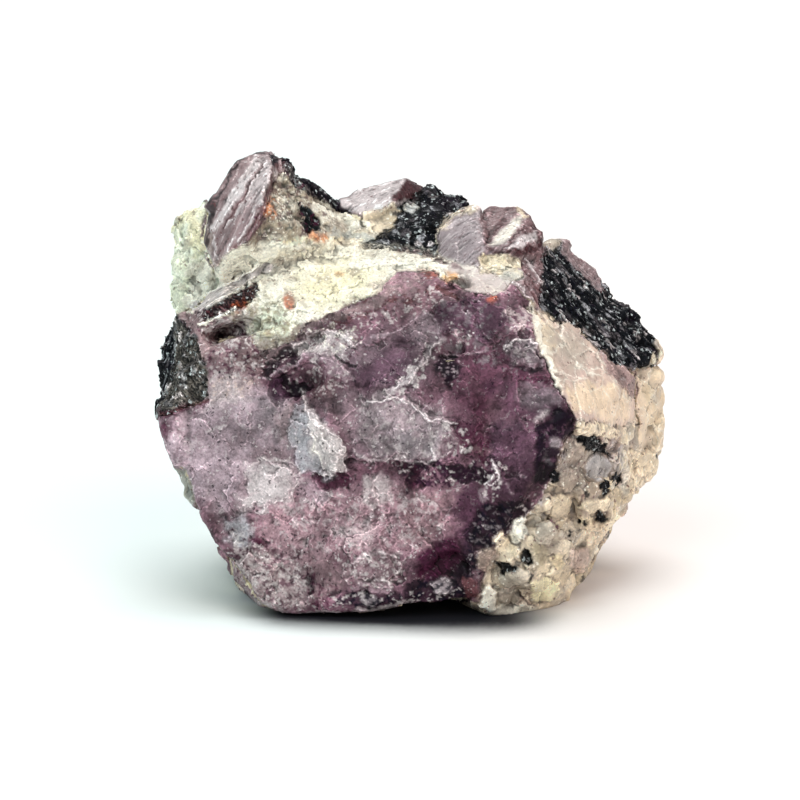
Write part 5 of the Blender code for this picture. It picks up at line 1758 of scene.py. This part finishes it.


# Finish of each mineral: flecks and dark specks (colour, share, size), flake lines (colour, strength, size,
# gaps), roughness from and to, coat, light under the surface, bump, grain, how much brighter its crests
# are painted as a highlight, and how much darker its wide and its small hollows are painted as shade
finishes = {
    "quartz": {"fleck": ("sugarWhite", 0.06, 0.50), "dark": ("redBrown", 0.06, 0.5),
               "line": ("brownMauve", 0.30, 4.2, 0.50), "rough": (0.26, 0.50), "coat": 0.10, "under": 0.18,
               "bump": 0.55, "grain": 0.24, "specular": 0.45, "crest": 0.4, "hollow": (0.60, 0.30)},
    # on the mica the pale flecks are painted glints, the pale flake lines painted highlights on the edges of
    # flakes, and the dark specks painted shade in small pits
    "mica": {"fleck": ("paleLilac", 0.055, 0.45), "dark": ("nightPurple", 0.05, 0.50),
             "line": ("paleLilac", 0.40, 4.2, 0.53), "rough": (0.24, 0.50), "coat": 0.05, "under": 0.05,
             "bump": 0.7, "grain": 0.42, "specular": 0.14, "crest": 0.9, "hollow": (0.60, 0.38)},
    "crystal": {"fleck": ("paleLilac", 0.04, 0.45), "dark": ("redBrown", 0.05, 0.45),
                "line": ("paleLilac", 0.15, 5.0, 0.55), "rough": (0.22, 0.42), "coat": 0.12, "under": 0.02,
                "bump": 0.5, "grain": 0.20, "specular": 0.35, "crest": 0.8, "hollow": (0.60, 0.50)},
    "blackMica": {"fleck": ("coldQuartz", 0.17, 0.70), "dark": ("black", 0.40, 0.60),
                  "line": ("black", 0.40, 1.6, 0.45), "rough": (0.22, 0.50), "coat": 0.05, "under": 0.0,
                  "bump": 0.8, "grain": 0.40, "specular": 0.09, "crest": 1.6, "hollow": (0.60, 0.50)},
    "albite": {"fleck": ("sugarWhite", 0.20, 0.45), "dark": ("smokyQuartz", 0.12, 0.5),
               "line": ("quartzGrey", 0.30, 2.2, 0.50), "rough": (0.40, 0.65), "coat": 0.0, "under": 0.06,
               "bump": 0.8, "grain": 0.32, "specular": 0.35, "crest": 0.4, "hollow": (0.55, 0.30)},
    "feldspar": {"fleck": ("sugarWhite", 0.05, 0.45), "dark": ("redBrown", 0.025, 0.45),
                 "line": ("sugarWhite", 0.40, 3.5, 0.52), "rough": (0.26, 0.48), "coat": 0.10, "under": 0.12,
                 "bump": 0.35, "grain": 0.10, "specular": 0.40, "crest": 0.3, "hollow": (0.45, 0.25)},
}

# Streaks: size and length in millimetres, then colour, strength and where they begin and are full
streakFinishes = {
    # on the crystals the pale streaks lie on the ridges of the streaks' own bump: a painted highlight
    "crystal": {"size": 0.55, "length": 0.05, "pale": ("paleLilac", 0.60, 0.57, 0.70),
                "dark": ("redBrown", 0.45, 0.43, 0.31)},
    "blackMica": {"size": 0.34, "length": 0.22, "pale": ("silver", 0.45, 0.62, 0.69),
                  "dark": ("black", 0.75, 0.52, 0.42)},
}


# What all the finishes share, with sizes in millimetres. Darker colours show fewer pale flakes and less
# gloss: each is where the lightness begins and is full, and how much is shown there
sharedFinish = {
    "cloud": 2.2,
    "grain": 0.36,
    "cloudShades": (0.65, 0.7),
    "grainGain": 4.0,
    "lightness": (0.3, 0.5, 0.2),
    "flakes": (0.01, 0.20, 0.12, 1.0),
    "gloss": (0.01, 0.18, 0.35, 1.0),
    "streakHeight": 1.5,
    "lineWidth": 0.045,
    "fleckStrength": 0.75,
    "fleckSeeds": {"dark": 17.0, "fleck": 3.0},
    "roughFrom": (0.35, 0.65),
    "bumpDepth": 0.15,
    "coatRoughness": 0.25,
    "underColour": (1.0, 0.8, 0.7),
    "underDepth": 1.0,
}


def streakedColour(tree, mineral, colour, calm):
    # fine streaks on crystals and on the flakes of a seam; returns the colour and the streaks
    own = streakFinishes[mineral]
    streaks = groupNode(tree, "streaks", Size=own["size"], Length=own["length"],
                        Direction=attribute(tree, "streak", "Vector"))
    value = streaks["Value"]
    for kind, most in (("pale", calm), ("dark", 1.0)):
        name, strength, low, high = own[kind]
        shown = mathNode(tree, "MULTIPLY", rangeNode(tree, value, low, high), strength)
        colour = colourMix(tree, colour, name, mathNode(tree, "MULTIPLY", shown, most))
    return colour, value


def mineralMaterial(mineral):
    # colour from the skin, then streaks, flake lines, flecks and specks, and a painted highlight on
    # crests and painted shade in hollows
    finish = finishes[mineral]
    shared = sharedFinish
    material = bpy.data.materials.new(mineral)
    material.use_nodes = True
    tree = material.node_tree
    mottle = groupNode(tree, "mottle", Cloud_Size=shared["cloud"], Grain_Size=shared["grain"])
    least, more = shared["cloudShades"]
    shade = mathNode(tree, "MULTIPLY_ADD", mottle["Cloud"], more, least)
    more = shared["grainGain"] * finish["grain"]
    grain = mathNode(tree, "MULTIPLY_ADD", mottle["Grain"], more, 1.0 - 0.5 * more)
    tone = attribute(tree, "tone", "Color")
    lightness = vectorNode(tree, "DOT_PRODUCT", tone, shared["lightness"])
    colour = scaledNode(tree, tone, mathNode(tree, "MULTIPLY", shade, grain))
    height = mottle["Grain"]
    calm = 1.0
    if mineral != "blackMica":
        calm = rangeNode(tree, lightness, *shared["flakes"])
    if mineral in streakFinishes:
        colour, streaks = streakedColour(tree, mineral, colour, calm)
        height = mathNode(tree, "MULTIPLY_ADD", streaks, shared["streakHeight"], height)
    name, strength, size, gaps = finish["line"]
    lines = groupNode(tree, "lines", Size=size, Width=shared["lineWidth"], Gaps=gaps)
    shown = mathNode(tree, "MULTIPLY", mathNode(tree, "MULTIPLY", lines["Mask"], strength), calm)
    colour = colourMix(tree, colour, name, shown)
    for kind, seed in shared["fleckSeeds"].items():
        name, share, size = finish[kind]
        flecks = groupNode(tree, "flecks", Size=size, Share=share, Seed=seed)
        shown = mathNode(tree, "MULTIPLY", flecks["Mask"], shared["fleckStrength"])
        if kind == "fleck":
            shown = mathNode(tree, "MULTIPLY", shown, calm)
        colour = colourMix(tree, colour, name, shown)
    # crests get a painted highlight and hollows a painted shade in the base colour
    wide, small = finish["hollow"]
    crestAndHollowShade = groupNode(tree, "crestAndHollowShade", Crest=finish["crest"], Hollow=wide, Small_Hollow=small)
    bump = tree.nodes.new("ShaderNodeBump")
    feed(tree, bump.inputs["Strength"], finish["bump"])
    feed(tree, bump.inputs["Distance"], shared["bumpDepth"] * metre)
    feed(tree, bump.inputs["Height"], height)
    gloss = mathNode(tree, "MULTIPLY", rangeNode(tree, lightness, *shared["gloss"]), finish["specular"])
    shader = tree.nodes["Principled BSDF"]
    for label, value in {
        "Base Color": scaledNode(tree, colour, crestAndHollowShade["Factor"]),
        "Roughness": rangeNode(tree, mottle["Cloud"], *shared["roughFrom"], *finish["rough"]),
        "Normal": bump.outputs["Normal"],
        "Specular IOR Level": gloss,
        "Coat Weight": finish["coat"],
        "Coat Roughness": shared["coatRoughness"],
        "Subsurface Weight": finish["under"],
        "Subsurface Radius": shared["underColour"],
        "Subsurface Scale": shared["underDepth"] * metre,
    }.items():
        feed(tree, shader.inputs[label], value)
    return material


pieceNames = {
    "quartz": "quartzMatrix",
    "mica": "lepidoliteFace",
    "crystal": "micaCrystals",
    "blackMica": "blackMicaSeams",
    "albite": "albiteShelf",
    "feldspar": "feldsparFaces",
}


def makeLump():
    # the skin of the whole lump, dressed and parted into its minerals
    points, quads = lumpSkin(skin["spacing"])
    pairs = edgePairs(quads)
    for _ in range(skin["smoothing"]):
        points += 0.5 * (neighbourMean(points, pairs) - points)
    normals = pointNormals(points, quads)
    print("skin of", len(quads), "squares")
    moved, kind, carried = dressed(points, normals, pairs)
    print("relief and colours worked out")
    label = squareKinds(quads, kind, len(points))
    made = []
    for number, mineral in enumerate(minerals):
        used, corners = np.unique(quads[label == number], return_inverse=True)
        own = {key: data[used] for key, data in carried.items()}
        piece = writeMesh(pieceNames[mineral], moved[used], corners.reshape(-1, 4), own)
        closedBehind(piece)
        piece.data.materials.clear()
        piece.data.materials.append(mineralMaterial(mineral))
        made.append(piece)
        print(piece.name, len(piece.data.polygons), "faces")
    return made


pieces = makeLump()
for piece in pieces:
    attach(piece, "root")
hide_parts("lepidolite_specimen")

# A white table under a broad light from above, with a cool fill at the left and a warm one at the right
studio = {
    "floorSize": 4000.0,
    # a painted tint of the floor's shade, cool at the left and warm at the right
    "tints": ("coolShadowTint", "warmShadowTint", -35.0, 35.0),
    "floorMottle": {"Cloud_Size": 60.0, "Grain_Size": 1.0},
    "floorCloud": (0.985, 0.03),
    "floorRoughness": 0.8,
    # the painted shadow on the floor under the lump's edge
    "gap": {"colour": "blueBlack", "reach": 15.0, "dark": 0.58, "clear": 0.86, "facing": (0.1, 0.95, 0.3),
            "samples": 8, "left": (-32.0, -20.0), "right": (26.0, 14.0)},
    "sky": 0.34,
    "skyColour": (0.93, 0.98, 1.0, 1.0),
    "backdrop": 1.35,
    "aim": (0.0, 0.0, 0.03),
    "lights": {
        "top": {"strength": 1.9, "spread": 45, "place": (0.02, 0.10, 0.80), "colour": (1.0, 0.99, 0.97)},
        "cool": {"strength": 0.94, "spread": 35, "place": (-0.42, -0.70, 0.72), "colour": (0.76, 0.97, 1.0)},
        "warm": {"strength": 0.92, "spread": 35, "place": (0.42, -0.70, 0.72), "colour": (1.0, 0.89, 0.84)},
    },
}


def paintedGapShadow(tree, across):
    # a painted shadow in the floor's colour: how much of the floor's light the lump's overhanging edge
    # takes, from what things within a reach cover of the half sky that faces a way, and only between the
    # gap's two ends
    gap = studio["gap"]
    near = tree.nodes.new("ShaderNodeAmbientOcclusion")
    near.samples = gap["samples"]
    feed(tree, near.inputs["Distance"], gap["reach"] * metre)
    feed(tree, near.inputs["Normal"], gap["facing"])
    shade = rangeNode(tree, near.outputs["AO"], gap["clear"], gap["dark"])
    for side in ("left", "right"):
        shade = mathNode(tree, "MULTIPLY", shade, rangeNode(tree, across, *gap[side]))
    return shade


def makeFloor():
    # a flat white sheet, cooler at the left and warmer at the right, a painted tint that shows only in its
    # shade, with a painted shadow, nearly black, under the lump's edge
    edge = studio["floorSize"] / 2
    corners = np.array([(-edge, -edge, 0), (edge, -edge, 0), (edge, edge, 0), (-edge, edge, 0)], float)
    floor = writeMesh("floor", corners, np.array([[0, 1, 2, 3]]), {})
    material = bpy.data.materials.new("tableWhite")
    material.use_nodes = True
    tree = material.node_tree
    shader = tree.nodes["Principled BSDF"]
    across = vectorNode(tree, "DOT_PRODUCT", objectPlace(tree), (1.0, 0.0, 0.0))
    cool, warm, low, high = studio["tints"]
    tint = colourMix(tree, cool, warm, rangeNode(tree, across, low, high))
    mottle = groupNode(tree, "mottle", **studio["floorMottle"])
    least, more = studio["floorCloud"]
    white = scaledNode(tree, tint, mathNode(tree, "MULTIPLY_ADD", mottle["Cloud"], more, least))
    colour = colourMix(tree, white, studio["gap"]["colour"], paintedGapShadow(tree, across))
    feed(tree, shader.inputs["Base Color"], colour)
    feed(tree, shader.inputs["Roughness"], studio["floorRoughness"])
    floor.data.materials.append(material)


def makeLight(name, values):
    # a broad light from one side, as even over the table as a window
    data = bpy.data.lights.new(name, "SUN")
    data.angle = math.radians(values["spread"])
    data.energy = values["strength"]
    data.color = values["colour"]
    light = bpy.data.objects.new(name, data)
    light.location = values["place"]
    way = np.array(studio["aim"]) - np.array(values["place"])
    light.rotation_euler = (math.atan2(math.hypot(way[0], way[1]), -way[2]), 0, math.atan2(-way[0], way[1]))
    bpy.context.scene.collection.objects.link(light)


def makeCamera():
    # where the photo was taken from
    turn = math.radians(photo["elevation"])
    forward = np.array([0.0, math.cos(turn), -math.sin(turn)])
    data = bpy.data.cameras.new("camera")
    data.lens = photo["lens"]
    data.sensor_width = photo["sensor"]
    camera = bpy.data.objects.new("camera", data)
    camera.location = (np.array(photo["aim"]) - forward * photo["distance"]) * metre
    camera.rotation_euler = (math.pi / 2 - turn, 0, 0)
    bpy.context.scene.collection.objects.link(camera)
    bpy.context.scene.camera = camera


def makeSky():
    # a white backdrop for the camera, and a softer white for the light that falls on the lump
    world = bpy.data.worlds.new("soft white")
    world.use_nodes = True
    tree = world.node_tree
    path = tree.nodes.new("ShaderNodeLightPath")
    span = studio["backdrop"] - studio["sky"]
    strength = mathNode(tree, "MULTIPLY_ADD", path.outputs["Is Camera Ray"], span, studio["sky"])
    feed(tree, tree.nodes["Background"].inputs["Color"], studio["skyColour"])
    feed(tree, tree.nodes["Background"].inputs["Strength"], strength)
    bpy.context.scene.world = world


makeFloor()
for name, values in studio["lights"].items():
    makeLight(name, values)
makeCamera()
makeSky()
bpy.context.scene.view_settings.view_transform = "Standard"
print("stage set")
